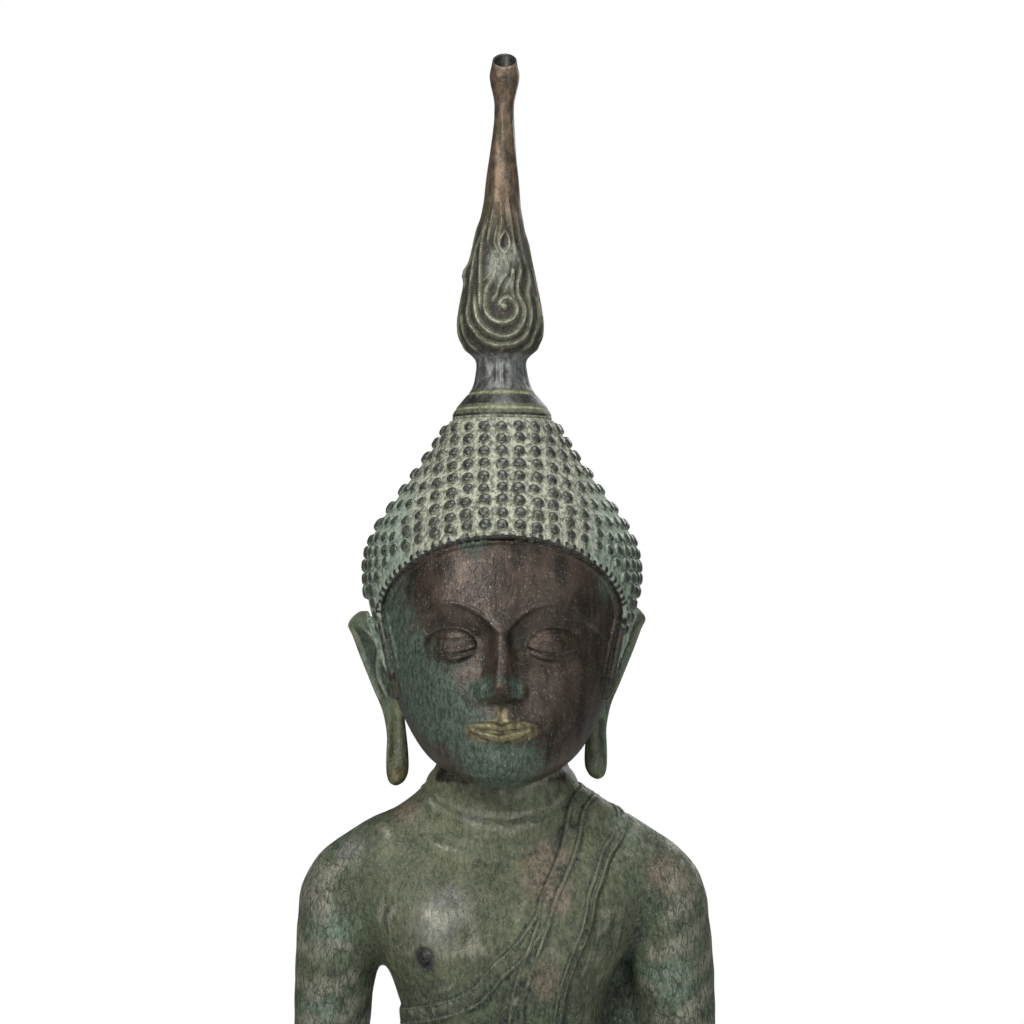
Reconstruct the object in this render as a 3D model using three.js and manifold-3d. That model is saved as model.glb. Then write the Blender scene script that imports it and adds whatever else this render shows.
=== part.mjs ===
// Seated buddha in the earth-touching pose, cast in bronze, on a low moulded plinth.
// Millimetres, +Z up. The figure faces -Y, and its own right hand is on the -X side.
import * as THREE from 'three';
import { LoftGeometry } from 'three/addons/geometries/LoftGeometry.js';
import { mergeVertices } from 'three/addons/utils/BufferGeometryUtils.js';
import Module from 'manifold-3d';

// Driving dimensions
const PLINTH = { width: 440, depth: 300, height: 110, petals: 24 };
const REST_GAP = 0.3;
const SEAT = PLINTH.height + REST_GAP;
const FIGURE_SET_BACK = 34;
const FACE_HEIGHT = 150;
const CHIN = 442;
const HAIRLINE = CHIN + FACE_HEIGHT;
const COLLAR = 673;
const CURL = { pitch: 18.4, rise: 4.4, row: 15, upperRow: 11.7, upperFrom: 605, lowest: 472 };

const wasm = await Module();
wasm.setup();

const bronze = new THREE.MeshStandardMaterial({ color: 0x4f5a48, roughness: 0.55, metalness: 0.7 });
const plinthBronze = new THREE.MeshStandardMaterial({ color: 0x46503f, roughness: 0.6, metalness: 0.7 });

// Smooth values between the rows of a table: each row is [key, value, value, ...]
function along(rows) {
  const slopes = rows.map((row, i) => {
    const before = rows[Math.max(i - 1, 0)];
    const after = rows[Math.min(i + 1, rows.length - 1)];
    return row.map((value, k) => (after[k] - before[k]) / (after[0] - before[0]));
  });
  return (key) => {
    let i = rows.findIndex((row) => row[0] > key) - 1;
    if (i < 0) i = key <= rows[0][0] ? 0 : rows.length - 2;
    const span = rows[i + 1][0] - rows[i][0];
    const t = THREE.MathUtils.clamp((key - rows[i][0]) / span, 0, 1);
    return rows[i].slice(1).map((start, k) => {
      const end = rows[i + 1][k + 1];
      const rise = slopes[i][k + 1] * span;
      const fall = slopes[i + 1][k + 1] * span;
      const t2 = t * t;
      const t3 = t2 * t;
      const leave = (2 * t3 - 3 * t2 + 1) * start + (t3 - 2 * t2 + t) * rise;
      return leave + (3 * t2 - 2 * t3) * end + (t3 - t2) * fall;
    });
  };
}

const bump = (distance, reach) => Math.exp(-(distance * distance) / (reach * reach));

// A geometry becomes a solid once its shared corners are merged
function solidOf(geometry) {
  const plain = new THREE.BufferGeometry();
  plain.setAttribute('position', geometry.getAttribute('position'));
  plain.setIndex(geometry.getIndex());
  const merged = mergeVertices(plain, 1e-4);
  const index = merged.getIndex().array;
  const position = merged.getAttribute('position');
  const corner = (i) => new THREE.Vector3().fromBufferAttribute(position, i);
  const faces = [];
  let volume = 0;
  for (let i = 0; i < index.length; i += 3) {
    const [a, b, c] = [index[i], index[i + 1], index[i + 2]];
    if (a === b || b === c || c === a) continue;
    faces.push([a, b, c]);
    volume += corner(a).dot(corner(b).cross(corner(c)));
  }
  const triVerts = new Uint32Array(faces.flatMap(([a, b, c]) => (volume < 0 ? [a, c, b] : [a, b, c])));
  const vertProperties = new Float32Array(position.array);
  return new wasm.Manifold(new wasm.Mesh({ numProp: 3, vertProperties, triVerts }));
}

// One solid over its sections, wound so that its faces point out
function loft(sections) {
  const middle = (section) => {
    const sum = section.reduce((total, point) => total.add(point), new THREE.Vector3());
    return sum.divideScalar(section.length);
  };
  const centre = middle(sections[0]);
  const wind = new THREE.Vector3();
  sections[0].forEach((point, i, section) => {
    const next = section[(i + 1) % section.length];
    wind.add(point.clone().sub(centre).cross(next.clone().sub(centre)));
  });
  const forward = wind.dot(middle(sections[1]).sub(centre)) > 0;
  const wound = forward ? sections : sections.map((section) => section.toReversed());
  return solidOf(new LoftGeometry(wound, { capStart: true, capEnd: true }));
}

const join = (solids) => solids.reduce((whole, solid) => whole.add(solid));

function range(from, to, steps) {
  return Array.from({ length: steps + 1 }, (_, i) => from + ((to - from) * i) / steps);
}

// A level ring, with its own reach to the front and to the back; angle 0 looks to the front
function ringPoint(angle, z, halfWidth, front, back, power = 1, x = 0, y = 0) {
  const s = Math.sin(angle);
  const c = Math.cos(angle);
  const side = Math.sign(s) * Math.abs(s) ** power;
  const ahead = Math.sign(c) * Math.abs(c) ** power;
  return new THREE.Vector3(x + halfWidth * side, y - (c > 0 ? front : back) * ahead, z);
}

function rings(levels, sides, pointAt) {
  return levels.map((z) => Array.from({ length: sides }, (_, i) => pointAt((i / sides) * 2 * Math.PI, z)));
}

// A limb along a curve, rounded off at its ends: rows are [x, y, z, half width, half height]
function limb(rows, sides, steps, up = new THREE.Vector3(0, 0, 1), roundStart = true) {
  const path = new THREE.CatmullRomCurve3(rows.map(([x, y, z]) => new THREE.Vector3(x, y, z)));
  const size = along(rows.map((row, i) => [i / (rows.length - 1), row[3], row[4]]));
  const stations = range(0, 1, steps);
  const centres = stations.map((t) => path.getPoint(t));
  const tangents = stations.map((t) => path.getTangent(t));
  const sections = [];
  const section = (centre, tangent, width, height) => {
    const across = new THREE.Vector3().crossVectors(tangent, up).normalize();
    const rise = new THREE.Vector3().crossVectors(across, tangent).normalize();
    sections.push(Array.from({ length: sides }, (_, i) => {
      const angle = (i / sides) * 2 * Math.PI;
      return centre.clone()
        .addScaledVector(across, width * Math.cos(angle))
        .addScaledVector(rise, height * Math.sin(angle));
    }));
  };
  const [startWidth, startHeight] = size(0);
  const [endWidth, endHeight] = size(1);
  const startTip = centres[0].clone().addScaledVector(tangents[0], -0.6 * startHeight);
  const endTip = centres.at(-1).clone().addScaledVector(tangents.at(-1), 0.6 * endHeight);
  if (roundStart) section(startTip, tangents[0], startWidth * 0.55, startHeight * 0.55);
  stations.forEach((t, i) => section(centres[i], tangents[i], ...size(t)));
  section(endTip, tangents.at(-1), endWidth * 0.55, endHeight * 0.55);
  return loft(sections);
}

// Torso: [height, half width, front, back]
const TORSO_ROWS = [
  [SEAT - 8, 88, 50, 66],
  [150, 90, 50, 70],
  [185, 80, 47, 64],
  [215, 69, 46, 56],
  [245, 62, 45, 52],
  [285, 61, 47, 53],
  [315, 65.5, 51, 56],
  [340, 79, 53, 58],
  [362, 92, 50, 57],
  [382, 98, 42, 51],
  [398, 98, 34, 45],
  [411, 89, 29, 41],
  [422, 73, 28, 39],
  [434, 55, 30, 39],
  [446, 43, 33, 39],
];
const torsoSize = along(TORSO_ROWS);
const BREAST = { x: 33, z: 334, reach: 30, rise: 4 };
const BELLY = { z: 226, reach: 34, rise: 4 };
const SPINE = { halfWidth: 9, depth: 3, low: 190, high: 400 };
const TORSO_POWER = 0.88;
const TORSO_SIDES = 16;

function torsoPoint(angle, z, lift = 0) {
  const [halfWidth, front, back] = torsoSize(z);
  const point = ringPoint(angle, z, halfWidth + lift, front + lift, back + lift, TORSO_POWER);
  if (Math.cos(angle) > 0) {
    const breast = bump(Math.hypot(Math.abs(point.x) - BREAST.x, z - BREAST.z), BREAST.reach);
    const belly = bump(Math.hypot(point.x, z - BELLY.z), BELLY.reach);
    point.y -= BREAST.rise * breast + BELLY.rise * belly;
  } else if (z > SPINE.low && z < SPINE.high) {
    point.y -= SPINE.depth * bump(point.x, SPINE.halfWidth);
  }
  return point;
}

function torso() {
  return loft(rings(TORSO_ROWS.map((row) => row[0]), TORSO_SIDES, torsoPoint));
}

// A smooth route through stops of [angle in degrees, height], from 0 at its start to 1 at its end
function routeThrough(stops) {
  return along(stops.map(([angle, z], i) => [i / (stops.length - 1), THREE.MathUtils.degToRad(angle), z]));
}

// A raised strip that lies on the torso
const STEP = 0.01;
const STRIP_ROOT = 4;

function strip(stops, width, rise, steps) {
  const route = routeThrough(stops);
  const at = (t, lift) => torsoPoint(...route(t), lift);
  const sections = range(0, 1, steps).map((t) => {
    const ahead = at(Math.min(t + STEP, 1), 0).sub(at(Math.max(t - STEP, 0), 0)).normalize();
    const centre = at(t, 0);
    const [angle, z] = route(t);
    const round = torsoPoint(angle + 0.02, z).sub(torsoPoint(angle - 0.02, z));
    const out = round.cross(torsoPoint(angle, z + 1).sub(torsoPoint(angle, z - 1))).normalize();
    const across = new THREE.Vector3().crossVectors(ahead, out).normalize();
    const corner = (side, lift) => {
      return centre.clone().addScaledVector(across, (side * width) / 2).addScaledVector(out, lift);
    };
    return [corner(-1, -STRIP_ROOT), corner(-0.94, rise), corner(0.94, rise), corner(1, -STRIP_ROOT)];
  });
  return loft(sections);
}

// The robe's edge crosses the chest from the left shoulder to the right armpit and goes round the back
const ROBE_EDGE = [
  [90, 440], [48, 432], [25.6, 415], [14, 380], [9.5, 356], [-1.2, 333], [-19, 312], [-63, 303], [-110, 304],
  [-150, 326], [-182, 362], [-215, 402], [-245, 428], [-270, 440],
];
const SASH = [
  [10, 205], [14, 260], [17.4, 305], [22.2, 354], [24, 382], [36.8, 412], [90, 432], [138, 414], [150, 380],
  [158, 330], [164, 270], [166, 205],
];

const HEM = { width: 7, rise: 2.4 };
const SASH_CLOTH = { width: 34, rise: 2.8 };

function robe() {
  return join([
    strip(ROBE_EDGE, HEM.width, HEM.rise, 14),
    strip(SASH, SASH_CLOTH.width, SASH_CLOTH.rise, 11),
  ]);
}

const STUD = { angle: -0.52, z: BREAST.z - 2, radius: 3.6, rise: 2.4 };

function breastStud() {
  const root = torsoPoint(STUD.angle, STUD.z, -STRIP_ROOT);
  const tip = torsoPoint(STUD.angle, STUD.z, STUD.rise);
  return limb([[...root, STUD.radius, STUD.radius], [...tip, STUD.radius, STUD.radius]], 6, 1);
}

// Arms: [x, y, z, half width, half height]; the figure's right arm hangs free of the torso
const RIGHT_ARM = [
  [-70, 4, 397, 24, 23],
  [-96, 5, 378, 27, 26],
  [-100.5, 6, 352, 28, 27],
  [-104.5, 7, 315, 27, 24.5],
  [-107.5, 10, 275, 23.5, 23],
  [-117, 16, 238, 22, 21],
  [-124, 8, 215, 20.5, 20.5],
  [-128, -16, 204, 19.5, 19.5],
  [-128, -48, 200, 18, 17.5],
  [-124, -88, 196, 15, 14],
  [-120, -112, 192, 13, 12.5],
];
const LEFT_ARM = [
  [70, 4, 397, 24, 23],
  [96, 5, 378, 27, 26],
  [102, 6, 352, 28, 27],
  [107, 8, 315, 26, 25],
  [110, 11, 275, 25, 24],
  [117, 17, 240, 23, 22],
  [122, 8, 219, 21, 21],
  [117, -16, 210, 20, 20],
  [101, -50, 206, 18, 18],
  [76, -76, 203, 14.5, 15],
  [56, -86, 201, 12, 14],
];
const RIGHT_ARM_SIDE = new THREE.Vector3(-1, 0, 0);
const LEFT_ARM_SIDE = new THREE.Vector3(0.65, -0.75, 0);

const armOf = (rows, side) => limb(rows, 8, 10, side);

// Between the left arm and the body the robe hangs as a web of cloth: [height, inner, outer, front, back]
const WEB_ROWS = [
  [186, 78, 110, -26, 20],
  [225, 60, 116, -16, 22],
  [270, 58, 104, -4, 20],
  [318, 62, 96, 4, 18],
  [352, 72, 96, 8, 18],
];

function armWeb() {
  return loft(WEB_ROWS.map(([z, inner, outer, front, back]) => [
    new THREE.Vector3(inner, front, z),
    new THREE.Vector3(outer, front, z),
    new THREE.Vector3(outer, back, z),
    new THREE.Vector3(inner, back, z),
  ]));
}

// A hand in its own frame: x to the thumb, y to the fingertips, z out of the palm
const HAND = { palm: 46, width: 44, fingers: [39, 45, 42, 33], spread: 10.8, radius: 5.2 };

function hand({ wrist, thumbWay, fingerWay, palmWay, bend, thumbSpread }) {
  const frame = (x, y, z) => wrist.clone()
    .addScaledVector(thumbWay, x)
    .addScaledVector(fingerWay, y)
    .addScaledVector(palmWay, z);
  const row = (x, y, z, width, height) => [...frame(x, y, z), width, height];
  const palm = limb([
    row(0, -8, 0, 13, 11),
    row(0, 12, 0, HAND.width * 0.42, 10),
    row(0, 32, 1, HAND.width * 0.5, 9),
    row(0, HAND.palm, 2, HAND.width * 0.48, 7),
  ], 8, 4, palmWay);
  const fingers = HAND.fingers.map((length, i) => {
    const x = HAND.spread * (1.5 - i);
    const r = HAND.radius * (i === 3 ? 0.86 : 1);
    return limb([
      row(x * 0.94, HAND.palm - 6, 1, r, r),
      row(x, HAND.palm + length * 0.4, bend * 0.2, r, r),
      row(x, HAND.palm + length * 0.75, bend * 0.6, r * 0.92, r * 0.9),
      row(x, HAND.palm + length, bend, r * 0.72, r * 0.68),
    ], 5, 2, palmWay, false);
  });
  const thumb = limb([
    row(12, 12, 2, 8, 8),
    row(17 + thumbSpread * 0.5, 30, 5, 7.4, 7.4),
    row(17 + thumbSpread, 48, 6, 6.4, 6),
    row(16 + thumbSpread, 58, 6, 5, 4.4),
  ], 5, 2, palmWay, false);
  return join([palm, ...fingers, thumb]);
}

const RIGHT_HAND = {
  wrist: new THREE.Vector3(-119, -118, 190),
  thumbWay: new THREE.Vector3(0.97, 0.04, 0.24).normalize(),
  fingerWay: new THREE.Vector3(0.22, -0.3, -0.93).normalize(),
  palmWay: new THREE.Vector3(0.04, 0.95, -0.31).normalize(),
  bend: 7,
  thumbSpread: 5,
};
const LEFT_HAND = {
  wrist: new THREE.Vector3(52, -87, 200),
  thumbWay: new THREE.Vector3(-0.1, -0.97, 0.12).normalize(),
  fingerWay: new THREE.Vector3(-0.99, 0.1, 0).normalize(),
  palmWay: new THREE.Vector3(0, 0.12, 1).normalize(),
  bend: 4,
  thumbSpread: 3,
};

// Legs: the right shin lies across the left one, and both knees spread to the sides
const RIGHT_THIGH = [
  [-44, 24, 150, 42, 40],
  [-100, -4, 150, 42, 39],
  [-150, -34, 146, 38, 35],
  [-172, -50, 144, 33, 32],
];
const LEFT_THIGH = [
  [44, 24, 150, 42, 40],
  [100, -4, 150, 42, 39],
  [150, -34, 144, 38, 34],
  [172, -50, 142, 33, 32],
];
const RIGHT_SHIN = [
  [-174, -52, 144, 33, 33],
  [-140, -80, 152, 31, 31],
  [-80, -94, 160, 29, 29],
  [-15, -98, 164, 25, 24],
  [42, -94, 168, 20, 18],
];
const LEFT_SHIN = [
  [174, -52, 142, 33, 33],
  [140, -78, 138, 31, 29],
  [80, -88, 134, 29, 26],
  [10, -88, 130, 27, 24],
  [-60, -74, 128, 24, 22],
];
const legOf = (rows) => limb(rows, 9, 4);

// A foot in its own frame: x to the big toe, y to the toes, z out of the sole
const FOOT = { length: 112, heel: 17, ball: 23, thick: 13 };

function foot({ heel, bigToeWay, toeWay, soleWay, toes }) {
  const frame = (x, y, z) => heel.clone()
    .addScaledVector(bigToeWay, x)
    .addScaledVector(toeWay, y)
    .addScaledVector(soleWay, z);
  const row = (x, y, z, width, height) => [...frame(x, y, z), width, height];
  const sole = limb([
    row(0, 4, 0, FOOT.heel * 0.8, FOOT.thick),
    row(0, 24, 0, FOOT.heel, FOOT.thick * 1.05),
    row(0, 58, -2, FOOT.heel * 1.08, FOOT.thick * 0.86),
    row(0, FOOT.length * 0.76, 0, FOOT.ball, FOOT.thick * 0.8),
    row(0, FOOT.length * 0.88, 0, FOOT.ball * 0.86, FOOT.thick * 0.56),
  ], 8, 4, soleWay);
  const toeSolids = Array.from({ length: toes }, (_, i) => {
    const x = i === 0 ? 16.5 : 14.6 - 8.4 * i;
    const r = i === 0 ? 5.8 : 4.1;
    const reach = FOOT.length * (1.04 - 0.022 * i);
    return limb([
      row(x, FOOT.length * 0.82, 0, r, r),
      row(x * 1.02, reach, 1, r * 0.86, r * 0.84),
    ], 4, 1, soleWay, false);
  });
  return join([sole, ...toeSolids]);
}

const RIGHT_FOOT = {
  heel: new THREE.Vector3(34, -92, 168),
  bigToeWay: new THREE.Vector3(-0.2, 0.96, 0.16).normalize(),
  toeWay: new THREE.Vector3(0.97, 0.21, 0.02).normalize(),
  soleWay: new THREE.Vector3(0.03, -0.2, 0.98).normalize(),
  toes: 5,
};
const LEFT_FOOT = {
  heel: new THREE.Vector3(-52, -72, 127),
  bigToeWay: new THREE.Vector3(0.1, 0.96, -0.2).normalize(),
  toeWay: new THREE.Vector3(-0.98, -0.14, 0).normalize(),
  soleWay: new THREE.Vector3(0, 0.2, 0.98).normalize(),
  toes: 0,
};

// The robe fills the lap behind the crossed shins: [height, half width, front, back]
const LAP_ROWS = [
  [SEAT - 8, 150, 92, 56],
  [135, 150, 92, 60],
  [158, 128, 84, 58],
  [172, 92, 66, 50],
];
const lapSize = along(LAP_ROWS);

function lapCloth() {
  const levels = LAP_ROWS.map((row) => row[0]);
  return loft(rings(levels, 14, (angle, z) => ringPoint(angle, z, ...lapSize(z), 0.9)));
}

// The robe's hem rings the right shin above the ankle
const SHIN_HEM = { at: 0.86, half: 0.016, grow: 2.2 };

function shinHem(rows) {
  const path = new THREE.CatmullRomCurve3(rows.map(([x, y, z]) => new THREE.Vector3(x, y, z)));
  const size = along(rows.map((row, i) => [i / (rows.length - 1), row[3], row[4]]));
  const stops = [SHIN_HEM.at - SHIN_HEM.half, SHIN_HEM.at, SHIN_HEM.at + SHIN_HEM.half];
  const ringAt = (t) => [...path.getPoint(t), ...size(t).map((half) => half + SHIN_HEM.grow)];
  return limb(stops.map(ringAt), 10, 2);
}

const NECK = [[0, 3, 425, 40, 40], [0, 0, 470, 40, 42]];

// Head and face: [height, half width, front, back]
const HEAD_ROWS = [
  [CHIN - 3, 12, 82, -58],
  [CHIN + 4, 28, 89, -38],
  [CHIN + 14, 43, 91, -8],
  [CHIN + 28, 54, 92, 26],
  [CHIN + 48, 64, 92, 58],
  [CHIN + 70, 71, 91, 70],
  [CHIN + 95, 75, 90, 72],
  [CHIN + 115, 75.5, 89, 72],
  [CHIN + 135, 73, 85, 72],
  [CHIN + 150, 69, 79, 70],
  [CHIN + 165, 60, 68, 60],
];
const headSize = along(HEAD_ROWS);
const HEAD_POWER = 0.92;
const third = FACE_HEIGHT / 3;
const FACE = {
  brow: CHIN + 2 * third,
  noseBase: CHIN + third,
  eye: CHIN + 2 * third - 16,
  mouth: CHIN + third * 0.62,
  eyeOut: 31,
};

// Height of the features over the plain oval of the face, at a place seen from the front
function features(x, z) {
  const side = Math.abs(x);
  const browLine = FACE.brow + 2 - 6 * ((side - 30) / 24) ** 2 * (side > 30 ? 1 : 0.7);
  const brow = 2.6 * bump(z - browLine, 5) * (side < 58 ? 1 : 0.4);
  const socket = -5.5 * bump(Math.hypot((side - 28) / 1.5, z - FACE.eye - 1), 13);
  const eyeball = 6.5 * bump(Math.hypot((side - FACE.eyeOut) / 1.55, z - FACE.eye + 1), 9);
  const up = THREE.MathUtils.clamp((FACE.brow - z) / (FACE.brow - FACE.noseBase), 0, 1);
  const noseHeight = z < FACE.noseBase ? 17 * bump(z - FACE.noseBase, 3.4) : 4 + 13 * up ** 1.2;
  const noseTop = z > FACE.brow ? bump(z - FACE.brow, 12) : 1;
  const nose = noseHeight * noseTop * bump(x, 5.5 + 3.5 * up);
  const wings = 7 * bump(Math.hypot(side - 11, z - FACE.noseBase - 4), 6);
  const lips = 5.5 * bump(z - FACE.mouth - 3.6 - side * 0.06, 4) * bump(side, 19);
  const lowerLip = 5 * bump(z - FACE.mouth + 5, 4.4) * bump(side, 14);
  const chin = 5 * bump(Math.hypot(x / 1.3, z - CHIN - 9), 13);
  const cheek = 3 * bump(Math.hypot(side - 42, z - FACE.noseBase - 6), 22);
  return brow + socket + eyeball + nose + wings + lips + lowerLip + chin + cheek;
}

// Face columns crowd to the front, where the features are
const FACE_COLUMNS = [
  -62, -46, -36, -28, -20, -13, -7, 0, 7, 13, 20, 28, 36, 46, 62, 90, 150, 210, 270,
].map((degrees) => THREE.MathUtils.degToRad(degrees));
const FACE_LEVELS = [
  CHIN - 3, CHIN + 4, CHIN + 11, CHIN + 20, FACE.mouth - 5, FACE.mouth, FACE.mouth + 5,
  FACE.noseBase - 4, FACE.noseBase + 1, FACE.noseBase + 6, FACE.noseBase + 16, FACE.eye - 9,
  FACE.eye - 3, FACE.eye + 3, FACE.eye + 9, FACE.brow, FACE.brow + 7, FACE.brow + 24, HAIRLINE, HAIRLINE + 15,
];

function head() {
  const sections = FACE_LEVELS.map((z) => FACE_COLUMNS.map((angle) => {
    const [halfWidth, front, back] = headSize(z);
    const halfDepth = (front + back) / 2;
    const point = ringPoint(angle, z, halfWidth, halfDepth, halfDepth, HEAD_POWER, 0, (back - front) / 2);
    if (Math.cos(angle) > 0.2) point.y -= features(point.x, z);
    return point;
  }));
  return loft(sections);
}

// Hair: a bell-shaped cap, [height, half width, front, back], set with rows of curls
const HAIR_ROWS = [
  [452, 38, 10, 51],
  [466, 50, 20, 65],
  [485, 60, 40, 78],
  [510, 67, 60, 86],
  [540, 78, 78, 91],
  [565, 83, 84, 92],
  [585, 82, 84.5, 89],
  [600, 76, 79, 81],
  [622, 61, 62, 63],
  [645, 44.5, 45, 45],
  [COLLAR - 6, 30.5, 30.5, 30.5],
];
const hairSize = along(HAIR_ROWS);

// Rows of curls keep one pitch, so each row has its own count. Tips and hollows take turns.
function hairCap() {
  const levels = [];
  for (let z = COLLAR - 6; z > CURL.lowest; z -= z > CURL.upperFrom ? CURL.upperRow : CURL.row) {
    levels.push(z);
  }
  levels.reverse();
  const vertices = [];
  const rows = [];
  levels.forEach((z, level) => {
    const [halfWidth, front, back] = hairSize(z);
    const girth = 2 * Math.PI * Math.sqrt((halfWidth ** 2 + ((front + back) / 2) ** 2) / 2);
    const count = 2 * Math.round(girth / CURL.pitch);
    const row = [];
    for (let i = 0; i < count; i += 1) {
      const angle = (i / count) * 2 * Math.PI;
      const below = level > 0 ? rows[level - 1] : null;
      const overTip = below ? below[Math.round((i / count) * below.length) % below.length].tip : i % 2 === 1;
      const besideTip = i > 0 && row[i - 1].tip;
      const tip = level > 0 && !overTip && !besideTip;
      const lift = tip ? CURL.rise : 0;
      vertices.push(ringPoint(angle, z + lift * 0.3, halfWidth + lift, front + lift, back + lift));
      row.push({ id: vertices.length - 1, angle, tip: level > 0 ? tip : i % 2 === 0 });
    }
    rows.push(row);
  });
  const faces = [];
  rows.slice(1).forEach((upper, k) => stitch(rows[k], upper, faces));
  const closeRow = (row, z, flip) => {
    vertices.push(new THREE.Vector3(0, 8, z));
    const centre = vertices.length - 1;
    row.forEach((point, i) => {
      const next = row[(i + 1) % row.length];
      faces.push(flip ? [next.id, point.id, centre] : [point.id, next.id, centre]);
    });
  };
  closeRow(rows[0], levels[0] - 16, true);
  closeRow(rows.at(-1), levels.at(-1), false);
  const geometry = new THREE.BufferGeometry();
  const corners = faces.flat().flatMap((id) => [...vertices[id]]);
  geometry.setAttribute('position', new THREE.Float32BufferAttribute(corners, 3));
  geometry.setAttribute('normal', new THREE.Float32BufferAttribute(new Array(corners.length).fill(0), 3));
  return solidOf(geometry);
}

// Triangles between two rows of unlike counts. Edges run through the hollows, so each tip stands alone.
function stitch(lower, upper, faces) {
  let i = 0;
  let j = 0;
  const turn = 2 * Math.PI;
  const spacing = turn / lower.length;
  const angleAt = (row, k) => row[k % row.length].angle + (k >= row.length ? turn : 0);
  const edgeCost = (a, b) => {
    const tips = Number(lower[a % lower.length].tip) + Number(upper[b % upper.length].tip);
    return Math.abs(angleAt(lower, a) - angleAt(upper, b)) + 0.6 * spacing * tips;
  };
  while (i < lower.length || j < upper.length) {
    const a = lower[i % lower.length];
    const b = upper[j % upper.length];
    const lowerNext = i < lower.length ? edgeCost(i + 1, j) : Infinity;
    const upperNext = j < upper.length ? edgeCost(i, j + 1) : Infinity;
    if (lowerNext < upperNext) {
      i += 1;
      faces.push([a.id, lower[i % lower.length].id, b.id]);
    } else {
      j += 1;
      faces.push([a.id, upper[j % upper.length].id, b.id]);
    }
  }
}

// The hairline arches over the forehead and runs down in front of the ears
const ARCH = { halfWidth: 75, spring: 545, rise: HAIRLINE - 545 };

function faceWindow() {
  const shape = new THREE.Shape();
  shape.moveTo(-ARCH.halfWidth, 430);
  shape.lineTo(ARCH.halfWidth, 430);
  range(0, Math.PI, 12).forEach((angle) => {
    shape.lineTo(ARCH.halfWidth * Math.cos(angle), ARCH.spring + ARCH.rise * Math.sin(angle));
  });
  const geometry = new THREE.ExtrudeGeometry(shape, { depth: 180, bevelEnabled: false });
  geometry.rotateX(Math.PI / 2);
  geometry.translate(0, -8, 0);
  return solidOf(geometry);
}

// A rounded band lies along it: upper is the share that makes the arch, and the rest drops before the ears
const BAND = { upper: 0.72, drop: 50, inward: 11, radius: 3.2, steps: 13 };

function hairlineBand() {
  const arch = range(-1, 1, BAND.steps).map((t) => {
    const angle = THREE.MathUtils.clamp(t / BAND.upper, -1, 1) * (Math.PI / 2);
    const drop = Math.max(Math.abs(t) - BAND.upper, 0) / (1 - BAND.upper);
    const x = ARCH.halfWidth * Math.sin(angle) - Math.sign(t) * BAND.inward * drop;
    const z = ARCH.spring + ARCH.rise * Math.cos(angle) - BAND.drop * drop;
    const [halfWidth, front] = headSize(Math.min(z, HAIRLINE));
    const ahead = Math.sqrt(Math.max(1 - (x / (halfWidth + 4)) ** 2, 0));
    return [x, -Math.max((front + 3) * ahead ** HEAD_POWER, 16), z, BAND.radius, BAND.radius];
  });
  return limb(arch, 4, BAND.steps, new THREE.Vector3(0, -1, 0.2));
}

// Ears: [height, out, back, half thickness, half depth], pointed above and with a long lobe below
const EAR_ROWS = [
  [440, 66, -6, 3, 3.5],
  [447, 65, -6, 6.2, 7.6],
  [458, 65, -5.5, 6.3, 8],
  [472, 65.6, -3.5, 4.9, 8],
  [489, 68.5, -0.2, 4.4, 10],
  [504, 72.4, 3, 4.6, 13.8],
  [521, 78, 6, 4.8, 16.3],
  [534, 83.5, 9, 4.2, 15.6],
  [542, 88, 12, 3, 13],
  [547, 88.5, 13, 0.9, 5],
];
const EAR = { sides: 7, cos: Math.cos(0.66), sin: Math.sin(0.66) };
const EAR_BOWL = [[502, 2], [519, 4], [536, 2]];
const LOBE_SLIT = [[455, 1.6], [468, 2.2], [482, 1.6]];
const earSize = along(EAR_ROWS);

// The cast isn't quite even: the figure's left ear sits higher and further in than its right one
const LEFT_EAR = { inward: 6.6, lift: 4 };

function ear(side, inward = 0, lift = 0) {
  const place = (out, back, z) => [side * (out - inward), back, z + lift];
  const sections = EAR_ROWS.map(([z, out, back, thick, deep]) => {
    return Array.from({ length: EAR.sides }, (_, i) => {
      const angle = (i / EAR.sides) * 2 * Math.PI;
      const u = thick * Math.cos(angle);
      const v = deep * Math.sin(angle);
      const x = out + u * EAR.cos + v * EAR.sin;
      const y = back - u * EAR.sin + v * EAR.cos;
      return new THREE.Vector3(...place(x, y, z));
    });
  });
  const trough = (stops) => limb(stops.map(([z, radius]) => {
    const [out, back, thick] = earSize(z);
    return [...place(out + thick * EAR.cos, back - thick * EAR.sin, z), radius, radius];
  }), 4, 2, new THREE.Vector3(0, 1, 0));
  return loft(sections).subtract(trough(EAR_BOWL)).subtract(trough(LOBE_SLIT));
}

// Collar, neck and flame finial: [height, radius, shift to the side], as the finial leans a little
const FINIAL_ROWS = [
  [COLLAR - 8, 31.5, 0],
  [COLLAR, 30, 0],
  [680, 24.4, 0],
  [686, 19.6, 0],
  [700, 15.5, -0.1],
  [711, 21.4, -0.5],
  [718, 25.4, -0.8],
  [729, 26.6, -1.1],
  [741, 25.2, -1.1],
  [757, 22, -1],
  [774, 18, -0.5],
  [792, 14.3, 0],
  [816, 10.5, 0.5],
  [860, 6.2, 1.4],
  [872, 7, 1.6],
  [882, 9.3, 1.6],
  [889, 9, 1.6],
];
const finialSize = along(FINIAL_ROWS);

// A point near the flame's skin, which the lift raises or sinks
function finialPoint(angle, z, lift = 0) {
  const [radius, shift] = finialSize(z);
  const r = radius + lift;
  return ringPoint(angle, z, r, r, r, 1, shift);
}

// The bud at the tip is open: its mouth slopes down to the front
const BUD = { from: 885, slope: 11, mouth: 893, hollow: 5, top: 907, shift: 1.6 };

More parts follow.
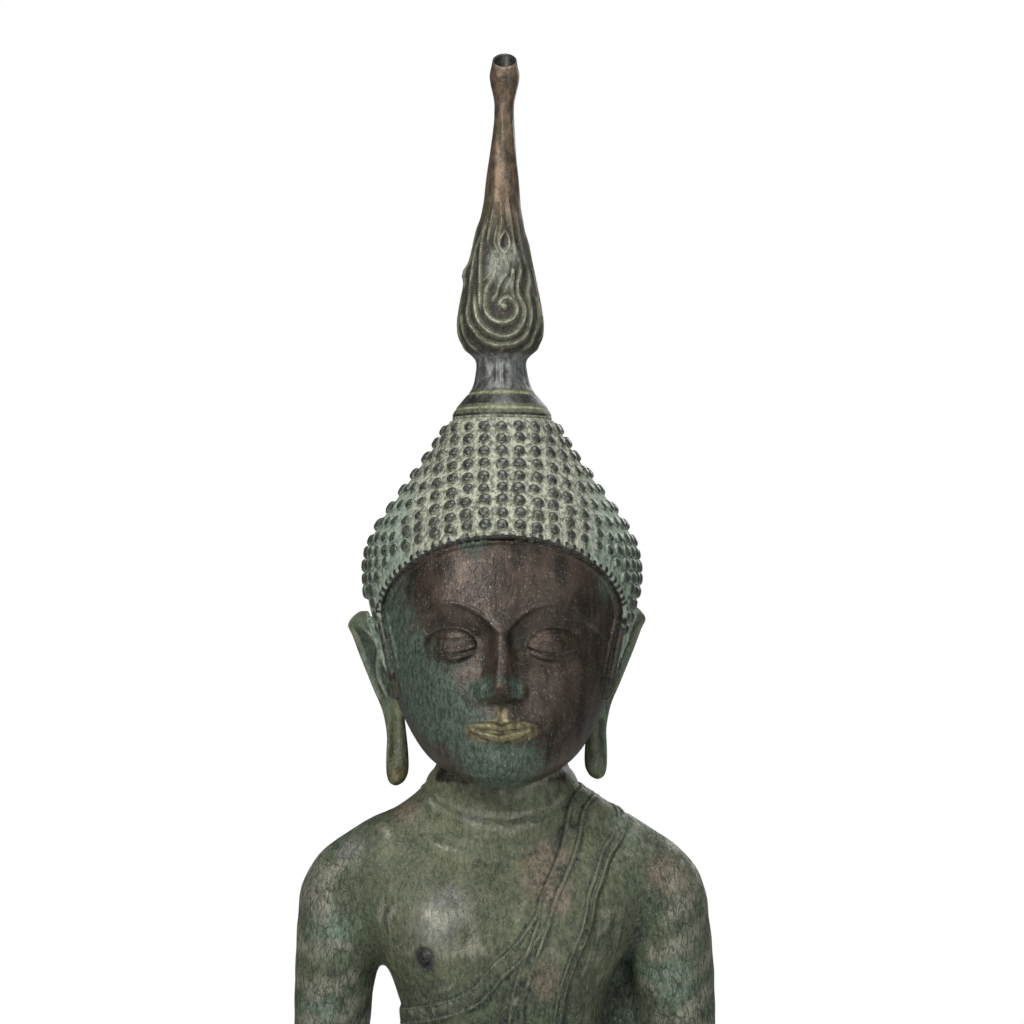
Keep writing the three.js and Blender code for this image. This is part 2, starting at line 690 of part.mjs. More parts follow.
function finial() {
  const levels = FINIAL_ROWS.map((row) => row[0]);
  return loft(rings(levels, 2 * TONGUES.count, (angle, z) => {
    const point = finialPoint(angle, z, flameSwell(angle, z));
    if (z > BUD.from) point.z += BUD.slope * Math.sin(angle / 2) ** 2;
    return point;
  }));
}

function tipHollow() {
  const bottom = [BUD.shift, -1, BUD.mouth - BUD.hollow, 4, 4];
  const over = [BUD.shift, -4, BUD.top, 9, 9];
  return limb([bottom, over], 7, 1, new THREE.Vector3(0, 1, 0), false);
}

// A ridge on the flame, with a sharp crest
function flameRidge(stops, steps, width, rise) {
  const route = routeThrough(stops);
  const at = (t, lift) => finialPoint(...route(t), lift);
  return loft(range(0, 1, steps).map((t) => {
    const ahead = at(Math.min(t + STEP, 1), 0).sub(at(Math.max(t - STEP, 0), 0)).normalize();
    const centre = at(t, 0);
    const out = at(t, 5).sub(centre).normalize();
    const across = new THREE.Vector3().crossVectors(ahead, out).normalize();
    const taper = Math.min(1, 0.15 + 4 * Math.min(t, 1 - t));
    return [
      centre.clone().addScaledVector(across, -width * taper).addScaledVector(out, -2),
      centre.clone().addScaledVector(out, rise * taper),
      centre.clone().addScaledVector(across, width * taper).addScaledVector(out, -2),
    ];
  }));
}

// The flame's face has a spiral over nested swags, and tongues lick up round its sides
const SPIRAL = { z: 735, turns: 1.4, outer: 9 };
const TONGUES = { count: 7, low: 708, high: 792, rise: 2.4 };

function flameSwell(angle, z) {
  if (z < TONGUES.low || z > TONGUES.high) return 0;
  const fade = Math.sin(Math.PI * ((z - TONGUES.low) / (TONGUES.high - TONGUES.low)) ** 0.8);
  const sway = 0.22 * Math.sin((z - TONGUES.low) / 9);
  return TONGUES.rise * fade * Math.cos(TONGUES.count * (angle + sway));
}

function flameRelief() {
  const spiral = range(0, 1, 12).map((t) => {
    const angle = -Math.PI / 2 + t * SPIRAL.turns * 2 * Math.PI;
    const reach = SPIRAL.outer * (1 - 0.75 * t);
    const across = THREE.MathUtils.radToDeg((reach * Math.cos(angle)) / finialSize(SPIRAL.z)[0]);
    return [across, SPIRAL.z + reach * Math.sin(angle)];
  });
  const swag = [[-34, 750], [-30, 730], [0, 719], [30, 730], [34, 750]];
  const sideScroll = limb([[-20, 0, 766, 2, 2], [-25.5, -1, 763, 3.4, 3.6], [-24.5, -2, 754, 2, 2]], 5, 2);
  return join([flameRidge(spiral, 11, 2.2, 3.4), flameRidge(swag, 6, 2.6, 3.2), sideScroll]);
}

function meshOf(solid, name, material) {
  const { vertProperties, triVerts } = solid.getMesh();
  const geometry = new THREE.BufferGeometry();
  geometry.setAttribute('position', new THREE.Float32BufferAttribute(vertProperties, 3));
  geometry.setIndex(new THREE.BufferAttribute(new Uint32Array(triVerts), 1));
  geometry.computeVertexNormals();
  const mesh = new THREE.Mesh(geometry, material);
  mesh.name = name;
  return mesh;
}

function figure() {
  const below = new THREE.BoxGeometry(600, 600, 100);
  below.translate(0, 0, SEAT - 50);
  const body = join([
    torso(),
    robe(),
    breastStud(),
    armOf(RIGHT_ARM, RIGHT_ARM_SIDE),
    armOf(LEFT_ARM, LEFT_ARM_SIDE),
    armWeb(),
    hand(RIGHT_HAND),
    hand(LEFT_HAND),
    legOf(RIGHT_THIGH),
    legOf(LEFT_THIGH),
    legOf(RIGHT_SHIN),
    legOf(LEFT_SHIN),
    lapCloth(),
    foot(RIGHT_FOOT),
    foot(LEFT_FOOT),
    shinHem(RIGHT_SHIN),
    limb(NECK, 12, 2, new THREE.Vector3(0, -1, 0)),
  ]);
  const crown = join([
    hairCap().subtract(faceWindow()),
    head(),
    hairlineBand(),
    ear(-1),
    ear(1, LEFT_EAR.inward, LEFT_EAR.lift),
    finial().subtract(tipHollow()),
    flameRelief(),
  ]);
  const shells = body.add(crown).subtract(solidOf(below)).decompose();
  return shells.sort((a, b) => b.volume() - a.volume())[0];
}

// Plinth, a waist between two lotus bands: [height, share of the full plan, petal swell]
const PLINTH_LEVELS = [
  [0, 1, 0],
  [13, 1, 0],
  [16, 0.965, 0.1],
  [30, 0.95, 1],
  [44, 0.89, 0.5],
  [50, 0.87, 0],
  [60, 0.87, 0],
  [65, 0.88, 0.6],
  [77, 0.925, 1],
  [93, 0.965, 0],
  [PLINTH.height, 0.975, 0],
];
const PETAL_RISE = 4.5;

function plinth() {
  const sides = PLINTH.petals * 2;
  const sections = PLINTH_LEVELS.map(([z, share, swell]) => Array.from({ length: sides }, (_, i) => {
    const lift = i % 2 === 0 ? 0 : PETAL_RISE * swell;
    const halfWidth = (PLINTH.width / 2) * share + lift;
    const halfDepth = (PLINTH.depth / 2) * share + lift;
    return ringPoint((i / sides) * 2 * Math.PI, z, halfWidth, halfDepth, halfDepth, 0.72);
  }));
  return loft(sections);
}

const statue = new THREE.Group();
const figureMesh = meshOf(figure(), 'figure', bronze);
figureMesh.position.set(0, FIGURE_SET_BACK, 0);
statue.add(figureMesh, meshOf(plinth(), 'plinth', plinthBronze));

export default statue;
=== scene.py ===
# Seated buddha in the earth-touching pose, a hollow bronze casting on a low lotus plinth.
import math

import bpy
import numpy as np
import openvdb
from mathutils import Matrix, Vector
from mathutils.kdtree import KDTree


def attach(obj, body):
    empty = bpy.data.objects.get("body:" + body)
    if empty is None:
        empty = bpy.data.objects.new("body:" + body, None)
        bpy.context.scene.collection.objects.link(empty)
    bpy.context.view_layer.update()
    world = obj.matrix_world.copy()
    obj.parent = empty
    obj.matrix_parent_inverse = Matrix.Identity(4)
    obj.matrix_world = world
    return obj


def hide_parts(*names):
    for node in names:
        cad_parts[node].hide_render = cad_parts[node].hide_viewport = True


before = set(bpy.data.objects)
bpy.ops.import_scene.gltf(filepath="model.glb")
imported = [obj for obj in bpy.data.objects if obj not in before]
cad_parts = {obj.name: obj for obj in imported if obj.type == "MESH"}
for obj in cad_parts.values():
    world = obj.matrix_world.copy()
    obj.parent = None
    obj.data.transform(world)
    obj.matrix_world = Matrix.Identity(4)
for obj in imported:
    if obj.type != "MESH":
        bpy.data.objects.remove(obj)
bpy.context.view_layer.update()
scene = bpy.context.scene

# The studio: a pale floor that melts into a white surround, with soft daylight from the upper left.
# A long lens looks slightly up from chest height, and its frame cuts the statue at the chest.
PICTURE_WIDTH = 0.640
AIM = Vector((0.00625, 0.034, 0.610))
CAMERA_BACK = 2.5
CAMERA_DROP = 0.135

camera_data = bpy.data.cameras.new("camera")
camera = bpy.data.objects.new("camera", camera_data)
scene.collection.objects.link(camera)
camera.location = AIM + Vector((0, -CAMERA_BACK, -CAMERA_DROP))
sight = AIM - camera.location
camera.rotation_euler = sight.to_track_quat("-Z", "Y").to_euler()
camera_data.sensor_width = 36
camera_data.lens = camera_data.sensor_width * sight.length / PICTURE_WIDTH
camera_data.clip_end = 30
scene.camera = camera
scene.view_settings.view_transform = "Standard"


def add_node(tree, kind, inputs=None, **settings):
    """A new node with its settings; an input is a value or another node's output."""
    node = tree.nodes.new(kind)
    for name, value in settings.items():
        setattr(node, name, value)
    for name, value in (inputs or {}).items():
        if isinstance(value, bpy.types.NodeSocket):
            tree.links.new(value, node.inputs[name])
        else:
            node.inputs[name].default_value = value
    return node


def area_light(name, place, size, power, colour):
    light = bpy.data.lights.new(name, "AREA")
    light.shape = "DISK"
    light.size = size
    light.energy = power
    light.color = colour
    lamp = bpy.data.objects.new(name, light)
    scene.collection.objects.link(lamp)
    lamp.location = place
    lamp.rotation_euler = (AIM - lamp.location).to_track_quat("-Z", "Y").to_euler()


area_light("key_light", Vector((-1.05, -2.1, 1.75)), 1.0, 52, (1.0, 0.985, 0.96))
area_light("fill_light", Vector((1.3, -1.9, 0.9)), 1.2, 15, (0.95, 0.98, 1.0))
area_light("top_light", Vector((0.1, -0.3, 2.4)), 1.0, 26, (1.0, 1.0, 1.0))
area_light("back_light", Vector((0.9, 1.6, 1.3)), 1.0, 9, (1.0, 1.0, 1.0))

surround = bpy.data.worlds.new("surround")
scene.world = surround
surround.use_nodes = True
sky = surround.node_tree
sky.nodes.clear()
seen = add_node(sky, "ShaderNodeBackground", {"Color": (1, 1, 1, 1), "Strength": 1.0})
lighting = add_node(sky, "ShaderNodeBackground", {"Color": (0.93, 0.97, 1.0, 1), "Strength": 0.17})
ray = add_node(sky, "ShaderNodeLightPath")
both = add_node(sky, "ShaderNodeMixShader", {
    0: ray.outputs["Is Camera Ray"], 1: lighting.outputs[0], 2: seen.outputs[0],
})
add_node(sky, "ShaderNodeOutputWorld", {"Surface": both.outputs[0]})

FLOOR_SOLID = 0.7
FLOOR_EDGE = 2.1
floor_mesh = bpy.data.meshes.new("floor")
turn = np.linspace(0, 2 * math.pi, 96, endpoint=False)
rim = [(FLOOR_EDGE * math.cos(a), FLOOR_EDGE * math.sin(a), 0) for a in turn]
floor_mesh.from_pydata(rim, [], [list(range(len(rim)))])
floor = bpy.data.objects.new("floor", floor_mesh)
scene.collection.objects.link(floor)
floor_finish = bpy.data.materials.new("floor_finish")
floor_finish.use_nodes = True
tree = floor_finish.node_tree
tree.nodes.clear()
place = add_node(tree, "ShaderNodeTexCoord")
away = add_node(tree, "ShaderNodeVectorMath", {0: place.outputs["Object"]}, operation="LENGTH")
fade = add_node(tree, "ShaderNodeMapRange", {
    "Value": away.outputs["Value"], "From Min": FLOOR_SOLID, "From Max": FLOOR_EDGE * 0.97,
}, interpolation_type="SMOOTHSTEP")
paper = add_node(tree, "ShaderNodeBsdfPrincipled", {"Base Color": (0.86, 0.86, 0.85, 1), "Roughness": 0.8})
clear = add_node(tree, "ShaderNodeBsdfTransparent")
blended = add_node(tree, "ShaderNodeMixShader", {
    0: fade.outputs["Result"], 1: paper.outputs[0], 2: clear.outputs[0],
})
add_node(tree, "ShaderNodeOutputMaterial", {"Surface": blended.outputs[0]})
floor_mesh.materials.append(floor_finish)

# The body: one lost-wax bronze casting of torso, limbs and the robe that leaves the right shoulder bare.
# Each form is a closed skin in millimetres, melted into its neighbours with the soft fillets of wax,
# and the hems, creases and studs are worked on the joined skin as a chaser would.
MM = 0.001
# The figure's own axis stands behind the frame's, and its seat lies a hair's breadth above the plinth
SET_BACK = 34
SEAT = 110.3
# The cell in which forms are melted, in millimetres, and the faces left once smooth places are thinned
BODY_CELL = 1.5
BODY_FACES = 52000


def along(rows):
    """Smooth values between the rows of a table, each row being a key and its values."""
    table = np.array(rows, float)
    keys, values = table[:, 0], table[:, 1:]
    before = np.maximum(np.arange(len(keys)) - 1, 0)
    after = np.minimum(np.arange(len(keys)) + 1, len(keys) - 1)
    slopes = (values[after] - values[before]) / (keys[after] - keys[before])[:, None]

    def at(key):
        key = np.clip(np.asarray(key, float), keys[0], keys[-1])
        i = np.clip(np.searchsorted(keys, key, side="right") - 1, 0, len(keys) - 2)
        span = (keys[i + 1] - keys[i])[..., None]
        t = (key - keys[i])[..., None] / span
        start = (2 * t**3 - 3 * t**2 + 1) * values[i] + (t**3 - 2 * t**2 + t) * span * slopes[i]
        end = (3 * t**2 - 2 * t**3) * values[i + 1] + (t**3 - t**2) * span * slopes[i + 1]
        return start + end

    return at


def through(stops):
    """Smooth values through stops that lie one step apart."""
    return along([[i, *stop] for i, stop in enumerate(stops)])


def full_turn(sides):
    """Even angles once round, in a row."""
    return np.linspace(0, 2 * math.pi, sides, endpoint=False)[None]


def split(values):
    """A table's columns, one by one."""
    return np.moveaxis(values, -1, 0)


def bump(distance, reach):
    """A soft hill, 1 at no distance and all but gone at twice the reach."""
    return np.exp(-((distance / reach) ** 2))


def smooth(low, high, value):
    """A soft step from 0 to 1."""
    t = np.clip((value - low) / (high - low), 0, 1)
    return t * t * (3 - 2 * t)


def unit(vectors):
    return vectors / np.maximum(np.linalg.norm(vectors, axis=-1, keepdims=True), 1e-9)


def ring_point(angle, z, half_width, front, back, power=1.0, x=0.0, y=0.0):
    """A point of a level ring with its own reach to the front and the back; angle 0 looks to the front."""
    s, c = np.sin(angle), np.cos(angle)
    side = np.sign(s) * np.abs(s) ** power
    ahead = np.sign(c) * np.abs(c) ** power
    reach = np.where(c > 0, front, back)
    return np.stack(np.broadcast_arrays(x + half_width * side, y - reach * ahead, z), -1)


def loft(sections):
    """A closed skin over rings of points, with a fan over each end."""
    count, sides, _ = sections.shape
    ends = np.stack([sections[0].mean(0), sections[-1].mean(0)])
    points = np.concatenate([sections.reshape(-1, 3), ends])
    row = np.arange(count - 1)[:, None] * sides
    here = np.arange(sides)[None]
    following = (here + 1) % sides
    a, b = (row + here).ravel(), (row + following).ravel()
    c, d = b + sides, a + sides
    last = (count - 1) * sides
    low_cap = np.stack([following[0], here[0], np.full(sides, count * sides)], -1)
    high_cap = np.stack([last + here[0], last + following[0], np.full(sides, count * sides + 1)], -1)
    walls = np.concatenate([np.stack([a, b, c], -1), np.stack([a, c, d], -1)])
    return points, np.concatenate([walls, low_cap, high_cap]).astype(np.uint32)


def limb(rows, up=(0, 0, 1), sides=28, steps=56, round_start=True):
    """A limb through rows of x, y, z, half width and half height, rounded off at its ends."""
    values = through(rows)(np.linspace(0, len(rows) - 1, steps))
    centre, size = values[:, :3], values[:, 3:]
    ahead = unit(np.gradient(centre, axis=0))
    across = unit(np.cross(ahead, np.array(up, float)))
    rise = unit(np.cross(across, ahead))
    turn = full_turn(sides).T

    def ring(i, shift, scale):
        middle = centre[i] + ahead[i] * shift
        return middle + scale * (size[i, 0] * np.cos(turn) * across[i] + size[i, 1] * np.sin(turn) * rise[i])

    cap = np.linspace(0.05, 1, 6) * math.pi / 2
    first = [ring(0, -size[0, 1] * math.cos(s), math.sin(s)) for s in cap[:-1]] if round_start else []
    last = [ring(-1, size[-1, 1] * math.cos(s), math.sin(s)) for s in cap[-2::-1]]
    return loft(np.array(first + [ring(i, 0, 1) for i in range(steps)] + last))


class Wax:
    """A block of space in which closed skins are melted together or cut away."""

    def __init__(self, low, high, cell, reach=14):
        self.cell, self.reach = cell, reach
        self.low = np.floor(np.array(low) / cell).astype(int)
        self.depth = np.full(np.ceil(np.array(high) / cell).astype(int) - self.low + 1, reach, np.float32)

    def melt(self, shape, fillet, sign=1):
        """Melts a skin in, or cuts it away where the sign is -1."""
        points, faces = shape
        scale = openvdb.createLinearTransform(voxelSize=self.cell)
        grid = openvdb.FloatGrid.createLevelSetFromPolygons(
            points.astype(np.float32), triangles=faces, transform=scale, halfWidth=self.reach / self.cell)
        low = np.floor((points.min(0) - self.reach) / self.cell).astype(int)
        high = np.ceil((points.max(0) + self.reach) / self.cell).astype(int)
        low = np.maximum(low, self.low)
        high = np.minimum(high, self.low + self.depth.shape - 1)
        part = np.full(high - low + 1, self.reach, np.float32)
        grid.copyToArray(part, ijk=tuple(int(v) for v in low))
        here = tuple(slice(a, a + n) for a, n in zip(low - self.low, part.shape))
        old = sign * self.depth[here]
        near = np.maximum(fillet - np.abs(old - part), 0)
        self.depth[here] = sign * (np.minimum(old, part) - near * near / (4 * fillet))

    def skin(self):
        grid = openvdb.FloatGrid(float(self.reach))
        grid.copyFromArray(self.depth, ijk=tuple(int(v) for v in self.low))
        grid.transform = openvdb.createLinearTransform(voxelSize=self.cell)
        points, _, quads = grid.convertToPolygons(isovalue=0.0, adaptivity=0.0)
        faces = np.concatenate([quads[:, [0, 1, 2]], quads[:, [0, 2, 3]]]).astype(np.int64)
        a, b, c = (points[faces[:, k]] for k in range(3))
        inside_out = np.einsum("ij,ij->i", a, np.cross(b, c)).sum() < 0
        return points.astype(float), faces[:, ::-1] if inside_out else faces


TORSO_ROWS = [
    [SEAT - 8, 88, 50, 66], [150, 90, 50, 70], [185, 80, 47, 64], [215, 69, 46, 56], [245, 62, 45, 52],
    [285, 61, 47, 53], [315, 65.5, 51, 56], [340, 79, 53, 58], [362, 92, 50, 57], [382, 98, 42, 51],
    [398, 98, 34, 45], [411, 89, 29, 41], [422, 73, 28, 39], [434, 55, 30, 39], [446, 43, 33, 39],
]
torso_size = along(TORSO_ROWS)
TORSO_POWER = 0.88
BREAST = {"x": 33, "z": 334, "reach": 30, "rise": 4.5}
BELLY = {"z": 226, "reach": 34, "rise": 4}
NAVEL = {"z": 222, "reach": 4.5, "depth": 4}
SPINE = {"half_width": 9, "depth": 3.4}


def torso_point(angle, z, lift=0.0):
    half_width, front, back = split(torso_size(z))
    point = ring_point(angle, z, half_width + lift, front + lift, back + lift, TORSO_POWER)
    x = point[..., 0]
    breast = BREAST["rise"] * bump(np.hypot(np.abs(x) - BREAST["x"], z - BREAST["z"]), BREAST["reach"])
    belly = BELLY["rise"] * bump(np.hypot(x, z - BELLY["z"]), BELLY["reach"])
    navel = NAVEL["depth"] * bump(np.hypot(x, z - NAVEL["z"]), NAVEL["reach"])
    spine = SPINE["depth"] * bump(x, SPINE["half_width"]) * smooth(190, 215, z) * (1 - smooth(385, 405, z))
    ahead = np.cos(angle) > 0
    point[..., 1] -= np.where(ahead, breast + belly - navel, spine)
    return point


def torso():
    """Hips, waist, chest and shoulders, up to the root of the neck."""
    levels = np.linspace(TORSO_ROWS[0][0], TORSO_ROWS[-1][0], 150)[:, None]
    return loft(torso_point(full_turn(120), levels))


RIGHT_ARM = [
    [-70, 4, 397, 24, 23], [-96, 5, 378, 27, 26], [-100.5, 6, 352, 28, 27], [-104.5, 7, 315, 27, 24.5],
    [-107.5, 10, 275, 23.5, 23], [-117, 16, 238, 22, 21], [-124, 8, 215, 20.5, 20.5],
    [-128, -16, 204, 19.5, 19.5], [-128, -48, 200, 18, 17.5], [-124, -88, 196, 15, 14],
    [-120, -112, 192, 13, 12.5],
]
LEFT_ARM = [
    [70, 4, 397, 24, 23], [96, 5, 378, 27, 26], [102, 6, 352, 28, 27], [107, 8, 315, 26, 25],
    [110, 11, 275, 25, 24], [117, 17, 240, 23, 22], [122, 8, 219, 21, 21], [117, -16, 210, 20, 20],
    [101, -50, 206, 18, 18], [76, -76, 203, 14.5, 15], [56, -86, 201, 12, 14],
]
RIGHT_ARM_SIDE = (-1, 0, 0)
LEFT_ARM_SIDE = (0.65, -0.75, 0)


def arm_web():
    """The robe hangs between the left arm and the body as a thin web of cloth."""
    rows = along([
        [186, 78, 110, -26, 20], [225, 60, 116, -16, 22], [270, 58, 104, -4, 20], [318, 62, 96, 4, 18],
        [352, 72, 96, 8, 18],
    ])
    z = np.linspace(186, 352, 70)
    inner, outer, front, back = split(rows(z))
    corners = [(inner, front), (outer, front), (outer, back), (inner, back)]
    return loft(np.stack([np.stack([x, y, z], -1) for x, y in corners], 1))


HAND = {"palm": 46, "width": 44, "fingers": (39, 45, 42, 33), "spread": 10.8, "radius": 5.2}


def row_in(origin, *ways):
    """Rows of a limb from places in a frame of its own."""
    axes = unit(np.array(ways, float))
    return lambda x, y, z, width, height: [*(np.array(origin) + np.array([x, y, z]) @ axes), width, height]


def hand_parts(wrist, thumb_way, finger_way, palm_way, bend, thumb_spread):
    """Palm, fingers and thumb; in the hand's own frame x runs to the thumb and y to the fingertips."""
    row = row_in(wrist, thumb_way, finger_way, palm_way)
    long, wide = HAND["palm"], HAND["width"]
    parts = [limb([
        row(0, -8, 0, 13, 11), row(0, 12, 0, wide * 0.42, 10), row(0, 32, 1, wide * 0.5, 9),
        row(0, long, 2, wide * 0.48, 7),
    ], palm_way)]
    for i, reach in enumerate(HAND["fingers"]):
        x = HAND["spread"] * (1.5 - i)
        r = HAND["radius"] * (0.86 if i == 3 else 1)
        parts.append(limb([
            row(x * 0.94, long - 6, 1, r, r), row(x, long + reach * 0.4, bend * 0.2, r, r),
            row(x, long + reach * 0.75, bend * 0.6, r * 0.92, r * 0.9),
            row(x, long + reach, bend, r * 0.72, r * 0.68),
        ], palm_way, 16, 30, False))
    parts.append(limb([
        row(12, 12, 2, 8, 8), row(17 + thumb_spread * 0.5, 30, 5, 7.4, 7.4),
        row(17 + thumb_spread, 48, 6, 6.4, 6), row(16 + thumb_spread, 58, 6, 5, 4.4),
    ], palm_way, 16, 30, False))
    return parts


RIGHT_HAND = hand_parts((-119, -118, 190), (0.97, 0.04, 0.24), (0.22, -0.3, -0.93), (0.04, 0.95, -0.31), 7, 5)
LEFT_HAND = hand_parts((52, -87, 200), (-0.1, -0.97, 0.12), (-0.99, 0.1, 0), (0, 0.12, 1), 4, 3)

# The right shin lies across the left one, and both knees spread to the sides
RIGHT_THIGH = [
    [-44, 24, 150, 42, 40], [-100, -4, 150, 42, 39], [-150, -34, 146, 38, 35], [-172, -50, 144, 33, 32],
]
LEFT_THIGH = [
    [44, 24, 150, 42, 40], [100, -4, 150, 42, 39], [150, -34, 144, 38, 34], [172, -50, 142, 33, 32],
]
RIGHT_SHIN = [
    [-174, -52, 144, 33, 33], [-140, -80, 152, 31, 31], [-80, -94, 160, 29, 29], [-15, -98, 164, 25, 24],
    [42, -94, 168, 20, 18],
]
LEFT_SHIN = [
    [174, -52, 142, 33, 33], [140, -78, 138, 31, 29], [80, -88, 134, 29, 26], [10, -88, 130, 27, 24],
    [-60, -74, 128, 24, 22],
]
FOOT = {"length": 112, "heel": 17, "ball": 23, "thick": 13}


def foot_parts(heel, big_toe_way, toe_way, sole_way, toes):
    """Sole and toes; in the foot's own frame x runs to the big toe and y to the toes."""
    row = row_in(heel, big_toe_way, toe_way, sole_way)
    long, wide, thick = FOOT["length"], FOOT["heel"], FOOT["thick"]
    parts = [limb([
        row(0, 4, 0, wide * 0.8, thick), row(0, 24, 0, wide, thick * 1.05),
        row(0, 58, -2, wide * 1.08, thick * 0.86), row(0, long * 0.76, 0, FOOT["ball"], thick * 0.8),
        row(0, long * 0.88, 0, FOOT["ball"] * 0.86, thick * 0.56),
    ], sole_way)]
    for i in range(toes):
        x, r = (16.5, 5.8) if i == 0 else (14.6 - 8.4 * i, 4.1)
        tip = long * (1.04 - 0.022 * i)
        parts.append(limb([row(x, long * 0.82, 0, r, r), row(x * 1.02, tip, 1, r * 0.86, r * 0.84)],
                          sole_way, 14, 20, False))
    return parts


RIGHT_FOOT = foot_parts((34, -92, 168), (-0.2, 0.96, 0.16), (0.97, 0.21, 0.02), (0.03, -0.2, 0.98), 5)
LEFT_FOOT = foot_parts((-52, -72, 127), (0.1, 0.96, -0.2), (-0.98, -0.14, 0), (0, 0.2, 0.98), 0)


def lap_cloth():
    """The robe spread over the hips and lap, under the legs."""
    rows = along([[SEAT - 8, 150, 92, 56], [135, 150, 92, 60], [158, 128, 84, 58], [172, 92, 66, 50]])
    z = np.linspace(SEAT - 8, 172, 40)[:, None]
    return loft(ring_point(full_turn(90), z, *split(rows(z)), 0.9))


NECK = [[0, 3, 425, 40, 40], [0, 0, 470, 40, 42]]
body = Wax((-210, -152, SEAT - 4), (210, 104, 476), BODY_CELL)
body.melt(torso(), 4)
body.melt(limb(NECK, (0, -1, 0)), 13)
body.melt(lap_cloth(), 12)
for rows in (RIGHT_THIGH, LEFT_THIGH):
    body.melt(limb(rows), 13)
for rows in (LEFT_SHIN, RIGHT_SHIN):
    body.melt(limb(rows), 5)
body.melt(limb(RIGHT_ARM, RIGHT_ARM_SIDE, steps=110), 11)
body.melt(limb(LEFT_ARM, LEFT_ARM_SIDE, steps=110), 11)
body.melt(arm_web(), 5)
for parts in (LEFT_FOOT, RIGHT_FOOT, LEFT_HAND, RIGHT_HAND):
    for i, part in enumerate(parts):
        body.melt(part, 4 if i == 0 else 1.8)
seat_level = (np.arange(body.depth.shape[2]) + body.low[2]) * BODY_CELL
body.depth = np.maximum(body.depth, (SEAT - seat_level).astype(np.float32))
body_points, body_faces = body.skin()


def normals_of(points, faces):
    a, b, c = (points[faces[:, k]] for k in range(3))
    face = np.cross(b - a, c - a)
    total = np.zeros_like(points)
    for k in range(3):
        for axis in range(3):
            total[:, axis] += np.bincount(faces[:, k], face[:, axis], len(points))
    return unit(total)


body_normals = normals_of(body_points, body_faces)
body_lift = np.zeros(len(body_points))


def beside(curve, points, normals, reach):
    """For the points near a curve: which they are, how far to its right side, and how far along it."""
    low, high = curve.min(0) - reach, curve.max(0) + reach
    near = np.flatnonzero(((points > low) & (points < high)).all(1))
    apart = points[near][:, None] - curve[None, ::2]
    apart = np.einsum("ijk,ijk->ij", apart, apart)
    nearest, faced = apart.argmin(1), normals[near][apart.argmin(0)]
    agree = np.einsum("ij,ij->i", normals[near], faced[nearest])
    nearest = nearest * 2
    tangent = unit(np.gradient(curve, axis=0))[nearest]
    offset = points[near] - curve[nearest]
    keep = (np.linalg.norm(offset, axis=1) < reach) & (agree > 0.3)
    side = np.cross(tangent, normals[near])
    distance = np.einsum("ij,ij->i", offset, side) / np.maximum(np.linalg.norm(side, axis=1), 1e-6)
    return near[keep], distance[keep], (nearest / (len(curve) - 1))[keep]


def work(curve, profile, reach=10.0):
    """Raises or sinks the body's skin beside a curve."""
    near, distance, t = beside(curve, body_points, body_normals, reach)
    fade = smooth(0, 0.02, t) * (1 - smooth(0.98, 1, t)) * (1 - smooth(0.8, 1, np.abs(distance) / reach))
    body_lift[near] += profile(distance, t) * fade


def on_torso(stops, steps=300):
    """A curve on the torso through stops of [degrees from the front, height]."""
    route = through([[math.radians(angle), z] for angle, z in stops])
    return torso_point(*route(np.linspace(0, len(stops) - 1, steps)).T)


# The robe's hem crosses the chest from the left shoulder to the right armpit and goes round the back
ROBE_EDGE = [
    [90, 440], [48, 432], [25.6, 415], [14, 380], [9.5, 356], [-1.2, 333], [-19, 312], [-63, 303],
    [-110, 304], [-150, 326], [-182, 362], [-215, 402], [-245, 428], [-270, 440],
]
SASH = [
    [10, 205], [14, 260], [17.4, 305], [22.2, 354], [24, 382], [36.8, 412], [90, 432], [138, 414], [150, 380],
    [158, 330], [164, 270], [166, 205],
]
HEM = {"cloth": 1.2, "gap": 8.8}
SASH_HALF = 17


def hem(distance, t):
    """The thickness of the robe beside its edge, and the groove before it."""
    cloth = HEM["cloth"] * smooth(-1.2, 1.2, distance) * (1 - smooth(14, 26, distance))
    return cloth - 0.4 * bump(distance + 4, 2.4)


def sash(distance, t):
    """The folded cloth over the shoulder, a flat band between two grooves."""
    merged = smooth(SASH_MEETS - 0.03, SASH_MEETS + 0.01, t) * (1 - smooth(SASH_OVER, SASH_OVER + 0.05, t))
    right = smooth(SASH_HALF - 1.2, SASH_HALF + 1.2, distance)
    left = smooth(SASH_HALF - 1.2 - 14 * merged, SASH_HALF + 1.2, -distance)
    grooves = bump(distance - SASH_HALF - 3.4, 2.2) + (1 - merged) * bump(distance + SASH_HALF + 3.4, 2.2)
    return 1.4 * (1 - right) * (1 - left) - 0.8 * grooves


def crease(depth, width):
    """A soft fold that fades out at both ends of its curve."""
    return lambda distance, t: -depth * bump(distance, width) * np.sin(np.pi * np.clip(t, 0, 1)) ** 0.5


def seen_ahead(stops):
    """A curve on the torso's front through stops of [x, height]."""
    shares = [(abs(x) / torso_size(z)[0]) ** (1 / TORSO_POWER) for x, z in stops]
    turned = [[math.copysign(math.degrees(math.asin(share)), x), z] for share, (x, z) in zip(shares, stops)]
    return on_torso(turned, 120)


EDGE_STEPS = 500
robe_edge = on_torso(ROBE_EDGE, EDGE_STEPS)[::-1]
sash_line = on_torso(SASH, EDGE_STEPS)
